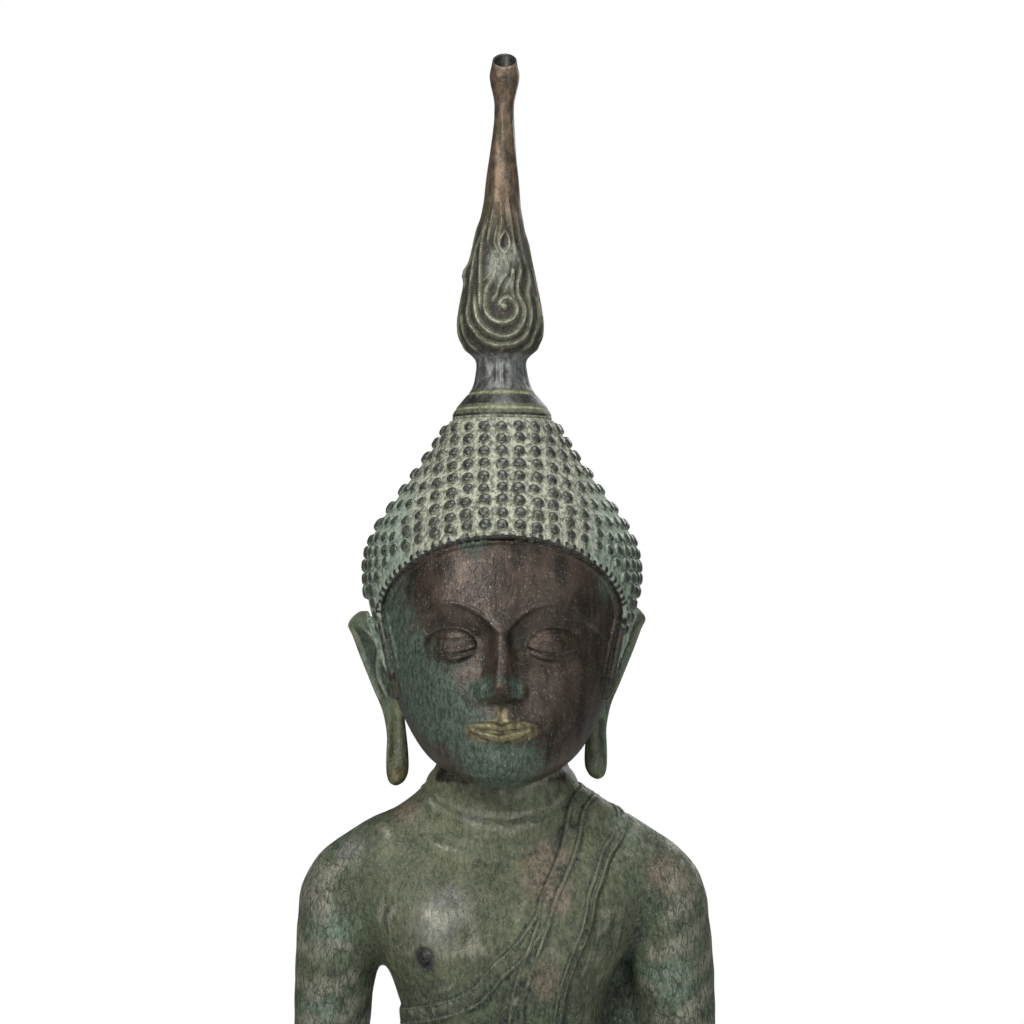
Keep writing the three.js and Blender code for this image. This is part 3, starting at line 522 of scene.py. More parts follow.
# The sash's left edge runs into the hem on the chest and comes clear of it again behind the shoulder
SASH_MEETS = np.argmax(sash_line[:, 2] > 355) / EDGE_STEPS
SASH_OVER = (np.argmax(sash_line[:, 1] > 20) + 20) / EDGE_STEPS
cloth_edge = seen_ahead([[73, 352], [70.6, 342.5], [65, 328], [59.4, 314.4], [56, 298], [55, 276]])
work(robe_edge, hem, 28)
work(sash_line, sash, 24)
work(cloth_edge, lambda d, t: 0.8 * smooth(-1.2, 1.2, d) * (1 - smooth(4, 9, d)) - 0.4 * bump(d + 3.4, 2), 10)
COLLAR_BONES = (
    ([[-55.3, 410.2], [-39.6, 398.8], [-23.8, 393.5], [-11.5, 391.8]], 1.0),
    ([[7.8, 392.6], [22, 400.5], [39, 413]], 0.6),
)
# Creases that are painted darker as shade, each a curve and how dark it is
CREASES = []
for bone, depth in COLLAR_BONES:
    work(seen_ahead(bone), crease(0.4 * depth, 1.7), 8)
    above = seen_ahead([[x, z + 5] for x, z in bone])
    work(above, lambda d, t, depth=depth: 0.9 * depth * bump(d, 3.2) * np.sin(np.pi * t), 9)
    CREASES.append((seen_ahead(bone), 0.12 * depth))
turn = np.linspace(-math.pi, math.pi, 400)
neck_ring = np.stack([41.5 * np.sin(turn), 1.5 - 41.5 * np.cos(turn), 438 - 21 * np.cos(turn)], -1)
work(neck_ring, lambda d, t: -0.8 * bump(d, 1.7) + 0.4 * bump(np.abs(d) - 4, 2.4), 9)
throat = on_torso([[-20, 412], [-12, 408], [0, 404.5], [8, 405], [16, 409], [23.4, 414.6]], 120)
work(throat, crease(0.7, 1.6), 8)
CREASES += [(neck_ring, 0.4), (throat, 0.25)]
ARMPITS = ([[-43, 372], [-52, 356], [-62, 338]], [[45, 362], [54, 346], [62, 330]])
for pit in ARMPITS:
    work(on_torso(pit, 120), crease(1.1, 2.2), 8)
    CREASES.append((on_torso(pit, 120), 0.25))


def shin_band(rows, at):
    """A pair of hem lines round a shin, 5 mm apart, as the stops of its rows are about 60 mm apart."""
    values = through(rows)
    for shift in (-2.5, 2.5):
        i = (len(rows) - 1) * at + shift / 60
        centre, ahead = values(i)[:3], unit(values(i + 0.02)[:3] - values(i - 0.02)[:3])
        across = unit(np.cross(ahead, (0, 0, 1.0)))
        rise = unit(np.cross(across, ahead))
        circle = np.linspace(0, 2 * math.pi, 200)[:, None]
        ring = centre + values(i)[3] * np.cos(circle) * across + values(i)[4] * np.sin(circle) * rise
        work(ring, lambda d, t: 1.4 * bump(d, 1.3), 5)


shin_band(RIGHT_SHIN, 0.86)
shin_band(LEFT_SHIN, 0.9)
STUD_RISE = 3.0
stud = torso_point(-0.62, BREAST["z"] + 1.0)
stud_apart = np.linalg.norm(body_points - stud, axis=1)
body_lift += STUD_RISE * (1 - smooth(2.4, 4.8, stud_apart)) - 0.5 * bump(stud_apart - 6.2, 1.2)
WAVES = np.array([[0.11, 0.07, 0.03], [-0.05, 0.1, 0.12], [0.2, -0.16, 0.06], [0.09, 0.21, -0.27]])
WAVE_HEIGHT = 0.16
above_seat = smooth(SEAT + 1, SEAT + 8, body_points[:, 2])
body_lift += WAVE_HEIGHT * np.sin(body_points @ WAVES.T).sum(1) * above_seat
body_points += body_normals * body_lift[:, None]
body_points[:, 2] = np.maximum(body_points[:, 2], SEAT)
body_normals = normals_of(body_points, body_faces)
skin_tree = KDTree(len(body_points))
for i, point in enumerate(body_points):
    skin_tree.insert(point, i)
skin_tree.balance()


def on_skin(curve, reach=5.0):
    """The curve laid on the body's skin, and the way out at each place; inside the body it stays as it is."""
    shift, ways = np.zeros(len(curve)), unit(curve * [1, 1, 0])
    for i, spot in enumerate(curve):
        found = [index for _, index, _ in skin_tree.find_range(spot, reach)]
        found = [index for index in found if body_normals[index] @ ways[i] > 0.2]
        if found:
            ways[i] = unit(body_normals[found].mean(0))
            shift[i] = ((body_points[found] - spot) @ ways[i]).mean()

    def eased(values):
        return np.convolve(np.pad(values, 4, "edge"), np.ones(9) / 9, "valid")

    ways = unit(np.stack([eased(column) for column in ways.T], -1))
    return curve + ways * eased(shift)[:, None], ways


LINE_PROFILE = [
    [-2.7, -0.8], [-2.1, 0.12], [-1.25, 0.0], [-0.6, 0.55], [0, 0.72], [0.6, 0.55], [1.25, 0.0], [2.1, 0.12],
    [2.7, -0.8], [0, -1.6],
]


def worked_line(curve, aside=0.0, scale=1.0):
    """A fine crest between two grooves, laid beside a curve on the skin: its path and its own closed skin."""
    spots, ways = on_skin(curve)
    if aside:
        spots, ways = on_skin(spots + aside * unit(np.cross(np.gradient(spots, axis=0), ways)))
    side = unit(np.cross(ways, np.gradient(spots, axis=0)))
    rings = [spots + scale * (across * side + rise * ways) + 0.12 * ways for across, rise in LINE_PROFILE]
    return spots, loft(np.stack(rings[::-1], 1))


WORKED_LINES = [
    worked_line(robe_edge[::3], 0, 0.74), worked_line(robe_edge[::3], HEM["gap"], 0.6),
    worked_line(sash_line[::3], SASH_HALF, 0.84), worked_line(sash_line[::3], SASH_HALF - 5.2, 0.6),
    *(worked_line(part, aside, 0.66)
      for part in (sash_line[: int(SASH_MEETS * EDGE_STEPS) : 3], sash_line[int(SASH_OVER * EDGE_STEPS) :: 3])
      for aside in (-SASH_HALF, 7.5 - SASH_HALF)),
    worked_line(cloth_edge[::2], 0, 0.74),
]

# The head is part of the same casting: a smooth oval face of plain proportions, a bell-shaped cap of hair,
# a rounded hairline band over the brow, and long slit ears that flare to a point above.
CHIN = 442
FACE_HEIGHT = 150
HAIRLINE = CHIN + FACE_HEIGHT
COLLAR = 673
HEAD_CELL = 0.8
HEAD_FACES = 75000
THIRD = FACE_HEIGHT / 3
BROW = CHIN + 2 * THIRD
NOSE_BASE = CHIN + THIRD
EYE = {"x": 31, "z": BROW - 16, "wide": 16, "tall": 10.5}
MOUTH = {"z": CHIN + THIRD * 0.62, "half": 23}
HEAD_ROWS = [
    [CHIN - 3, 12, 82, -58], [CHIN + 4, 28, 89, -38], [CHIN + 14, 43, 91, -8], [CHIN + 28, 54, 92, 26],
    [CHIN + 48, 64, 92, 58], [CHIN + 70, 71, 91, 70], [CHIN + 95, 75, 90, 72], [CHIN + 115, 75.5, 89, 72],
    [CHIN + 135, 73, 85, 72], [CHIN + 150, 69, 79, 70], [CHIN + 165, 60, 68, 60],
]
head_size = along(HEAD_ROWS)
brow_line = along([
    [0, BROW - 10], [5, BROW - 7], [12, BROW + 0.5], [22, BROW + 6], [33, BROW + 8], [45, BROW + 4.5],
    [56, BROW - 4], [66, BROW - 14], [76, BROW - 24],
])
nose_profile = along([
    [NOSE_BASE - 3, 0.5], [NOSE_BASE, 9], [NOSE_BASE + 3, 15], [NOSE_BASE + 7, 17.2], [NOSE_BASE + 13, 15.6],
    [NOSE_BASE + 26, 11.4], [NOSE_BASE + 38, 7.6], [BROW - 6, 5.0], [BROW + 4, 2.0], [BROW + 18, 0],
])
nose_width = along([
    [NOSE_BASE - 3, 7.5], [NOSE_BASE + 5, 7.6], [NOSE_BASE + 14, 5.6], [NOSE_BASE + 28, 4.4], [BROW - 8, 4.2],
    [BROW + 4, 7], [BROW + 18, 12],
])


def face_relief(x, z):
    """How far the features stand over the plain oval of the face, seen from the front."""
    side = np.abs(x)
    brow_z = brow_line(side)[..., 0]
    brow_fade = smooth(2, 7, side) * (1 - smooth(54, 66, side))
    brow = 1.5 * bump(z - brow_z, 1.7) * brow_fade + 1.2 * bump(z - brow_z - 2, 9) * brow_fade
    under = smooth(-2.0, 3.5, brow_z - z)
    socket = -6.4 * under * bump(np.hypot((side - 29) / 1.75, z - EYE["z"] - 3), 14)
    ball_x, ball_z = (side - EYE["x"]) / EYE["wide"], (z - EYE["z"] + 1) / EYE["tall"]
    eyeball = 6.6 * np.clip(1 - ball_x**2 - ball_z**2, 0, 1) ** 0.62
    lid_z = EYE["z"] - 3.2 - 3.6 * np.clip(1 - ((side - EYE["x"] - 0.5) / 16) ** 2, 0, 1)
    lid_fade = smooth(14.2, 17, side) * (1 - smooth(45, 48.5, side))
    slit = -1.7 * bump(z - lid_z, 0.95) * lid_fade
    lids = (0.9 * bump(z - lid_z - 2.0, 1.5) + 0.8 * bump(z - lid_z + 2.3, 1.5)) * lid_fade
    fold = -0.9 * bump(z - lid_z - 10.5 - 0.06 * (side - 31), 1.2)
    fold = fold * smooth(15, 20, side) * (1 - smooth(44, 50, side))
    width = nose_width(z)[..., 0]
    nose = nose_profile(z)[..., 0] / (1 + (side / (width + 1.2)) ** 4) * (z > NOSE_BASE - 3) * (z < BROW + 18)
    wings = 7.4 * np.clip(1 - ((side - 9.8) / 6.4) ** 2 - ((z - NOSE_BASE - 4.6) / 6.2) ** 2, 0, 1) ** 0.6
    behind = -1.1 * bump(np.hypot(side - 17.2, (z - NOSE_BASE - 5.5) * 0.6), 2.2)
    nostril = -3.0 * bump(np.hypot((side - 6) / 1.3, z - NOSE_BASE - 0.2), 1.7)
    muzzle = 3.2 * bump(np.hypot(side / 1.5, z - MOUTH["z"] - 1), 16)
    philtrum = -0.9 * bump(side, 1.9) + 0.5 * bump(side - 4, 1.5)
    philtrum = philtrum * smooth(MOUTH["z"] + 5, MOUTH["z"] + 8, z)
    philtrum = philtrum * (1 - smooth(NOSE_BASE - 5, NOSE_BASE - 2, z))
    line_z = MOUTH["z"] + 2.8 * (side / MOUTH["half"]) ** 2 - 0.9 * bump(side, 3.5)
    ends = np.clip(1 - (side / (MOUTH["half"] + 0.8)) ** 2, 0, 1)
    upper = 6.0 * ends**0.75 * (1 - 0.2 * bump(side, 2.4))
    lower = 6.6 * np.clip(1 - (side / (MOUTH["half"] - 3)) ** 2, 0, 1) ** 0.75
    up_t = np.clip((z - line_z) / np.maximum(upper, 0.1), 0, 1)
    low_t = np.clip((line_z - z) / np.maximum(lower, 0.1), 0, 1)
    lips = 2.7 * (4 * up_t * (1 - up_t)) ** 0.55 * smooth(0, 0.1, ends)
    lips += 3.1 * (4 * low_t * (1 - low_t)) ** 0.5 * smooth(0, 0.9, lower)
    parting = -1.3 * bump(z - line_z, 0.95) * ends**0.4
    corners = -1.1 * bump(np.hypot(side - MOUTH["half"] - 2, z - MOUTH["z"] - 3), 3)
    chin = 5.2 * bump(np.hypot(x / 1.25, z - CHIN - 10), 13)
    chin -= 1.3 * bump(np.hypot(side / 2.4, z - MOUTH["z"] + 11.5), 4)
    cheek = 3.2 * bump(np.hypot(side - 41, z - NOSE_BASE - 7), 23)
    return (brow + socket + eyeball + slit + lids + fold + np.maximum(nose, wings) + behind + nostril
            + muzzle + philtrum + lips + parting + corners + chin + cheek)


def head():
    """The egg of the head with the face's relief, its rings closer together in front."""
    front = np.linspace(-84, 84, 330)
    back = np.linspace(84, 276, 70)[1:-1]
    angle = np.radians(np.concatenate([front, back]))[None]
    z = np.linspace(HEAD_ROWS[0][0], HEAD_ROWS[-1][0], 300)[:, None]
    half_width, ahead, behind = split(head_size(z))
    half_depth = (ahead + behind) / 2
    point = ring_point(angle, z, half_width, half_depth, half_depth, 0.92, 0, (behind - ahead) / 2)
    facing = smooth(0.1, 0.35, np.cos(angle))
    point[..., 1] -= face_relief(point[..., 0], point[..., 2]) * facing
    return loft(point)


# The cap of hair under its curls
HAIR_ROWS = [
    [452, 38, 10, 51], [466, 47.5, 20, 65], [485, 57.5, 40, 78], [510, 67, 60, 86], [540, 78, 78, 91],
    [565, 83, 84, 92], [585, 82, 84.5, 89], [600, 76, 79, 81], [622, 61, 62, 63], [645, 44.5, 45, 45],
    [COLLAR - 6, 30.5, 30.5, 30.5],
]
GROUND_LIFT = 1.7
hair_size = along(HAIR_ROWS)


def hair_point(angle, z, lift=0.0):
    return ring_point(angle, z, *(split(hair_size(z)) + lift))


def hair_cap():
    """The ground that the curls sit on."""
    z = np.linspace(452, COLLAR - 6, 150)[:, None]
    return loft(hair_point(full_turn(160), z, GROUND_LIFT))


ARCH = {"half_width": 75, "spring": 545, "rise": HAIRLINE - 545}


def arch_share(x, z):
    """How far out a place lies in the round of the face's arch, with 1 on the arch."""
    return (x / ARCH["half_width"]) ** 2 + ((z - ARCH["spring"]) / ARCH["rise"]) ** 2


def face_window():
    """The arch that the face fills, cut out of the cap of hair."""
    turn = np.linspace(0, math.pi, 60)
    x = np.concatenate([[-ARCH["half_width"]], -ARCH["half_width"] * np.cos(turn), [ARCH["half_width"]]])
    z = np.concatenate([[430], ARCH["spring"] + ARCH["rise"] * np.sin(turn), [430]])
    return loft(np.stack([np.stack([x, np.full_like(x, y), z], -1) for y in (-190.0, -8.0)]))


def hairline(inset=0.0, lift=0.0):
    """The line along which hair and face meet, over the forehead and down before the ears."""
    t = np.linspace(-1, 1, 120)
    upper = 0.72
    angle = np.clip(t / upper, -1, 1) * math.pi / 2
    drop = np.maximum(np.abs(t) - upper, 0) / (1 - upper)
    x = (ARCH["half_width"] - inset) * np.sin(angle) - np.sign(t) * 11 * drop
    z = ARCH["spring"] + (ARCH["rise"] - inset) * np.cos(angle) - 50 * drop
    half_width, front, _ = split(head_size(np.minimum(z, HAIRLINE)))
    ahead = np.sqrt(np.maximum(1 - (x / (half_width + 4)) ** 2, 0))
    y = -np.maximum((front + 3 + lift) * ahead**0.92, 16)
    return np.stack([x, y, z], -1)


def hairline_bead(inset, lift, radius):
    return limb([[*point, radius, radius] for point in hairline(inset, lift)], (0, -1, 0.2), 14, 240)


EAR_ROWS = [
    [439.5, 66, -6, 0.8, 1], [440.6, 65.9, -6, 3.0, 3.6], [443, 65.5, -6, 4.9, 5.9], [448, 65, -6, 6.3, 7.7],
    [458, 65, -5.5, 6.3, 8], [472, 65.6, -3.5, 4.9, 8], [489, 68.5, -0.2, 4.4, 10], [504, 72.4, 3, 4.6, 13.8],
    [521, 78, 6, 4.8, 16.3], [534, 83.5, 9, 4.4, 15.6], [540, 87, 11, 3.8, 14.5], [545, 88, 12.5, 2.8, 9],
    [548.5, 86.5, 13, 1.2, 4.5],
]
EAR_FLARE = 0.66
LEFT_EAR = {"inward": 6.6, "lift": 4}


def ear_bowl(z):
    """How deep the ear's upper bowl is at a height, and where its scroll lies across it."""
    bowl = smooth(488, 498, z) * (1 - smooth(533, 543, z))
    return bowl, 0.34 * np.sin((z - 494) / 44 * 2 * math.pi) - 0.05


def ear(side, inward=0.0, lift=0.0):
    """A long slit ear: a raised rim round a hollow, an inner scroll above and a slit in the lobe."""
    z = np.linspace(439.5, 548.5, 190)[:, None]
    turn = full_turn(96)
    out, back, thick, deep = split(along(EAR_ROWS)(z))
    across = np.sin(turn)
    face = smooth(0.1, 0.5, np.cos(turn))
    slit = smooth(453, 459, z) * (1 - smooth(473, 481, z))
    bowl, scroll_line = ear_bowl(z)
    aside = np.abs(across)
    hollow = slit * 5.5 * (1 - smooth(0.12, 0.34, aside)) + bowl * 3.4 * (1 - smooth(0.5, 0.74, aside))
    scroll = 2.3 * bowl * bump(across - scroll_line, 0.12)
    helix = 1.2 * smooth(484, 498, z) * (1 - smooth(538, 546, z)) * bump(aside - 0.84, 0.12)
    u = thick * np.cos(turn) - face * (hollow - scroll - helix)
    v = deep * across
    x = side * (out - inward + u * math.cos(EAR_FLARE) + v * math.sin(EAR_FLARE))
    y = back - u * math.sin(EAR_FLARE) + v * math.cos(EAR_FLARE)
    return loft(np.stack(np.broadcast_arrays(x, y, z + lift), -1))


crown = Wax((-106, -114, CHIN - 10), (106, 108, COLLAR + 3), HEAD_CELL, 6)
crown.melt(hair_cap(), 1)
crown.melt(face_window(), 1, -1)
crown.melt(head(), 1.2)
crown.melt(hairline_bead(0, 0, 2.9), 0.8)
crown.melt(hairline_bead(4.6, -2.2, 1.3), 0.8)
crown.melt(ear(-1), 1.6)
crown.melt(ear(1, **LEFT_EAR), 1.6)
head_points, head_faces = crown.skin()

# The flame that crowns the head, cast in one with it: a waisted neck over a sloped collar, a bulb of nested
# swags round a spiral, tongues of flame up the sides, and a plain stem that ends in an open bud.
# The bulb's relief is laid out flat at one radius, a little less than that of its widest place
BULB = 24.0
BULB_WIDEST = 25.9
FINIAL_ROWS = [
    [COLLAR - 8, 29], [COLLAR - 4, 31.6], [COLLAR - 2, 30.8], [674, 29.2], [677, 26.9], [680, 24.4],
    [683, 21.9], [686, 19.5], [689, 17.9], [692, 16.9], [697, 16], [702, 15.4], [705, 16.1], [708, 18.4],
    [711, 21.2], [714, 22.8], [721, 25.5], [729, BULB_WIDEST], [744, 23.6], [759, 20.4], [774, 17.2],
    [789, 14.4], [804, 11.7],
    [819, 10.2], [834, 8.4], [852, 6.6], [862, 6.2], [867, 6.3], [871, 6.9], [875, 7.8], [879, 8.8],
    [884, 9.4], [889, 9.2], [894, 8.4], [900, 7.6],
]
FINIAL_FACES = 36500
SPIRAL = {"x": 1.7, "z": 736.3, "start": 2.8, "pitch": 9.7, "boss": 1.7}
finial_radius = along(FINIAL_ROWS)
coil = np.linspace(0, 1.02, 40)
coil_turn, coil_reach = math.pi - 2 * math.pi * coil, SPIRAL["start"] + SPIRAL["pitch"] * coil
SPIRAL_ARM = np.stack([
    SPIRAL["x"] + coil_reach * np.cos(coil_turn), SPIRAL["z"] + coil_reach * np.sin(coil_turn),
], -1)
# Ridges of the flame's face as they lie seen from the front: rise, half width, and stops of [x, height]
RIDGES = [
    (1.7, 1.8, [*SPIRAL_ARM.tolist(), [-9.8, 747.2], [-6.7, 752.7], [-4.5, 758], [-3.8, 764], [-6.1, 770],
                [-8.4, 777]]),
    (1.4, 1.6, [[4.5, 757.8], [0.6, 753.3], [-1.9, 748.8], [-3.1, 743.8], [-5.6, 741], [-5.9, 738.8]]),
    (1.5, 1.7, [[8, 741], [7, 744], [6.7, 750], [7.5, 755], [6.7, 759.4], [5.6, 754.4], [3.4, 749.4],
                [0, 743.3]]),
    (1.7, 1.9, [[11.2, 765], [11.4, 760], [10.6, 755], [9.6, 750], [10.2, 743.8], [12.2, 740], [14, 736],
                [13.9, 731], [12.8, 726], [10, 721.6], [5, 718.3], [0, 717.7], [-6.1, 719.6], [-11.7, 723.6],
                [-15.1, 729], [-16.5, 734.9], [-17, 741], [-17, 750]]),
    (1.5, 1.9, [[-9.8, 790], [-11.7, 784], [-13.1, 772.8], [-13.5, 763.3], [-13.7, 755], [-13.9, 743.8],
                [-13.4, 734.3]]),
    (1.7, 1.9, [[14.8, 763.9], [16.2, 757.8], [16.6, 752.2], [15.6, 746.6], [16.5, 741], [17.7, 734.3],
                [17.6, 728.2], [15, 719.3], [8.9, 714.2], [2.2, 712.6], [-2.2, 712.2], [-7.3, 713.3],
                [-13.4, 717], [-17.9, 723], [-20.6, 728.2], [-21.3, 734.3], [-20.4, 741], [-19.4, 752.2],
                [-18.1, 760], [-17.2, 767.3], [-15.9, 774.5], [-13.4, 781.8], [-10.5, 793]]),
    (1.6, 1.8, [[20.1, 744.4], [21.8, 739.4], [22.6, 732.1], [21.8, 725.4], [19.5, 719.3], [17.3, 713.7],
                [11.7, 709.5]]),
    (1.6, 1.8, [[-24.8, 733], [-24.6, 727.1], [-23, 719.8], [-19, 713.1], [-14, 709.5]]),
    (1.5, 1.7, [[-1, 800], [-0.3, 790], [-2.2, 779], [-1.4, 774.5], [1.7, 770], [2.8, 766.7], [4.5, 761]]),
    (1.2, 1.5, [[-3.3, 790], [-3.9, 783], [-4.5, 776.7], [-1.1, 769], [0, 763], [-2, 757]]),
    (1.5, 1.6, [[2.5, 785], [-0.6, 780.5], [-1.6, 776], [-0.4, 772.6], [1.7, 770.6], [4, 773.5], [4.6, 778],
                [2.5, 785]]),
    (1.3, 1.7, [[-4.5, 805], [-5.8, 796], [-7.4, 788], [-9.4, 776]]),
    (1.3, 1.7, [[3.5, 807], [4.8, 798], [6.2, 788], [7.6, 776], [9.4, 768]]),
    (1.2, 1.6, [[7.8, 800], [9.4, 790], [11.2, 779], [13.4, 768], [14.8, 763.9]]),
    (1.0, 1.2, [[-15.6, 746], [-12.8, 748.8]]), (1.0, 1.2, [[-12, 752.7], [-7.3, 757.2]]),
]
GROOVES = [
    (1.3, 1.8, [[5.3, 757.5], [2.4, 752], [0.2, 747.5], [-1.7, 743.8]]),
    (1.2, 1.5, [[8.4, 758], [8.2, 750], [8.6, 744]]),
    (1.0, 1.8, [[1.6, 782], [1.4, 778], [1.6, 774]]),
    (1.0, 1.4, [[-2, 803], [-3, 795], [-4, 786]]), (1.0, 1.4, [[1.6, 804], [2.4, 796], [3.4, 787]]),
]


def lean(z):
    """The finial's shift to the side at a height, in millimetres."""
    return -1.1 * smooth(676, 736, z) + 2.7 * smooth(740, 890, z)


def pressed(lines, u, z):
    """The highest of some ridges with sharp crests at places on the unrolled bulb."""
    total = np.zeros_like(u)
    for rise, half_width, stops in lines:
        x, level = through(stops)(np.linspace(0, len(stops) - 1, 6 * len(stops))).T
        turn = np.arcsin(np.clip((x - lean(level)) / finial_radius(level)[:, 0], -0.999, 0.999))
        track = np.stack([BULB * turn, level], -1)
        low, high = track.min(0) - 5, track.max(0) + 5
        near = np.flatnonzero((u > low[0]) & (u < high[0]) & (z > low[1]) & (z < high[1]))
        apart = np.hypot(u[near][:, None] - track[None, :, 0], z[near][:, None] - track[None, :, 1])
        t, off = np.linspace(0, 1, len(track)), apart.min(1)
        ends = 0.35 + 0.65 * smooth(0, 0.08, t) * (1 - smooth(0.92, 1, t))
        height = rise * ends[apart.argmin(1)] * np.exp(-1.4 * off / half_width)
        total[near] = np.maximum(total[near], height * (1 - smooth(1.6, 2.1, off / half_width)))
    return total


def flame_relief(angle, z):
    """Nested swags round a spiral on the front; round the sides and back, tongues that lick upward."""
    u, level = (BULB * angle).ravel(), z.ravel()
    face = pressed(RIDGES, u, level) - pressed(GROOVES, u, level)
    middle = BULB / BULB_WIDEST * (SPIRAL["x"] - lean(SPIRAL["z"]))
    face += SPIRAL["boss"] * bump(np.hypot(u - middle, level - SPIRAL["z"]), 1.9)
    rise = z - SPIRAL["z"]
    sway = 1.5 * np.sin(z / 6.5 + angle * 1.5) * smooth(0, 14, rise)
    lane = (np.hypot(25 * angle, np.minimum(rise, 0)) + sway * np.sign(angle)) / 5.2 - 0.3
    nearest = np.round(lane)
    crest = np.maximum(1 - np.abs(lane - nearest) * 2.3, 0) ** 0.8
    tip = 756 + 9 * np.abs(np.sin(nearest * 2.1 + np.sign(angle))) + 3.4 * nearest + 8 * (nearest % 2)
    tip = np.minimum(tip, 798)
    licks = 1.5 * crest * (1 - smooth(tip - 12, tip, z)) * smooth(707, 714, z)
    return face.reshape(z.shape) + licks * smooth(1.2, 1.4, np.abs(angle))


def finial():
    """Rings of the flame's outer skin, from under the collar up to the mouth of the bud."""
    turn = np.linspace(-math.pi, math.pi, 400, endpoint=False)[None]
    level = np.concatenate([
        np.linspace(COLLAR - 8, 705, 60), np.linspace(705.5, 808, 240), np.linspace(809, 882, 46),
        np.linspace(882.8, 900, 24),
    ])[:, None] * np.ones_like(turn)
    groove = -0.45 * bump(level - 683.6, 0.7) - 0.5 * bump(level - 673.8, 0.6)
    groove -= 0.8 * bump(level - 669.4, 0.9)
    relief = flame_relief(np.broadcast_to(turn, level.shape), level)
    veins = 0.25 * np.sin(turn * 7 + level / 11) * smooth(800, 812, level) * (1 - smooth(850, 862, level))
    streaks = 0.3 * np.sin(turn * 17 + 2 * np.sin(turn * 5)) * smooth(685, 690, level)
    streaks = streaks * (1 - smooth(702, 708, level))
    radius = finial_radius(level)[..., 0] + relief + groove + veins + streaks
    point = ring_point(turn, level, radius, radius, radius)
    scroll_apart = np.hypot((turn + 1.45) * 16, level - 760)
    point[..., 0] += lean(level) - 3.4 * bump(scroll_apart, 4.4) * (1 - 0.8 * bump(scroll_apart, 1.7))
    mouth = 889 + 10.8 * np.sin(turn / 2) ** 2
    bud = level > 882
    point[..., 2] = np.where(bud, 882 + (level - 882) * (mouth - 882) / 18, level)
    return point


finial_sections = finial()
axis = np.array([1.6, 0, 0])
rim = finial_sections[-1]
# The inner wall of the open bud, ring by ring, each with its inset and how far it lies below the rim
inner = []
for inset, sunk in ((0.35, -0.1), (0.95, 0.25), (1.25, 1.2), (1.3, 3.5), (1.5, 6.5), (3.2, 8.6), (5.6, 9.6)):
    away = (rim - axis) * [1, 1, 0]
    drop = sunk * (rim[:, 2:] - 878) / 12
    inner.append(rim - unit(away) * inset - drop * [0, 0, 1])
finial_points, finial_faces = loft(np.concatenate([finial_sections, np.array(inner)]))


def mesh_of(name, points, faces):
    mesh = bpy.data.meshes.new(name)
    mesh.vertices.add(len(points))
    mesh.vertices.foreach_set("co", np.ascontiguousarray(points, np.float32).ravel())
    mesh.loops.add(faces.size)
    mesh.loops.foreach_set("vertex_index", np.ascontiguousarray(faces, np.int32).ravel())
    mesh.polygons.add(len(faces))
    mesh.polygons.foreach_set("loop_start", np.arange(0, faces.size, faces.shape[1], dtype=np.int32))
    mesh.update(calc_edges=True)
    return mesh


def values_of(items, field, width, kind=float):
    """One field of a mesh's points or edges, a row for each."""
    values = np.empty(len(items) * width, kind)
    items.foreach_get(field, values)
    return values.reshape(-1, width)


def paint(mesh, name, values):
    """A soft mask on a mesh's points, for its patina to follow."""
    layer = mesh.attributes.new(name, "FLOAT", "POINT")
    layer.data.foreach_set("value", np.asarray(values, np.float32))


def thing_of(mesh):
    thing = bpy.data.objects.new(mesh.name, mesh)
    scene.collection.objects.link(thing)
    return thing


def finished(thing, name):
    """The thing's mesh with its modifiers worked in; the thing itself goes."""
    bpy.context.view_layer.update()
    graph = bpy.context.evaluated_depsgraph_get()
    mesh = bpy.data.meshes.new_from_object(thing.evaluated_get(graph))
    mesh.name = name
    bpy.data.objects.remove(thing)
    return mesh


# The parts of the casting are thinned where they are smooth, then joined with the hem lines into one skin
parts = []
for name, points, faces, count in (
    ("body", body_points, body_faces, BODY_FACES),
    ("head", head_points, head_faces, HEAD_FACES),
    ("flame", finial_points, finial_faces, FINIAL_FACES),
    *((f"line_{i}", *skin, len(skin[1])) for i, (_, skin) in enumerate(WORKED_LINES)),
):
    thing = thing_of(mesh_of(name, points, faces))
    thin = thing.modifiers.new("thin", "DECIMATE")
    thin.ratio = min(1.0, count / len(faces))
    parts.append(thing_of(finished(thing, name)))
casting, *others = parts
for other in others:
    union = casting.modifiers.new("join", "BOOLEAN")
    union.operation = "UNION"
    union.solver = "MANIFOLD"
    union.object = other
figure_mesh = finished(casting, "buddha_casting")
for other in others:
    bpy.data.objects.remove(other)

# How the surface has aged, painted as soft masks on the casting: where hair, face and flame are, and where
# handling has worn the bronze bare. Some masks paint light and shade instead: painted shade in the hollows,
# creases and open bud and on the arms and back, and painted highlights and sheen on the chest and the flame's
# ridges.
points = values_of(figure_mesh.vertices, "co", 3)
x, y, z = points.T
wires = values_of(figure_mesh.edges, "vertices", 2, np.int32)
normals = values_of(figure_mesh.vertex_normals, "vector", 3)


def hollowness(rounds):
    """How far each point lies below the skin about it, in millimetres."""
    ends = np.concatenate([wires, wires[:, ::-1]])
    share = 0.5 / np.bincount(ends[:, 0], minlength=len(points))
    eased = points.copy()
    for _ in range(rounds):
        near = [np.bincount(ends[:, 0], eased[ends[:, 1], axis], len(points)) for axis in range(3)]
        eased = 0.5 * eased + share[:, None] * np.stack(near, -1)
    return np.einsum("ij,ij->i", eased - points, normals)


def patches(places):
    """Soft round patches, each a place and a reach."""
    return np.clip(sum(bump(np.linalg.norm(points - place[:3], axis=1), place[3]) for place in places), 0, 1)


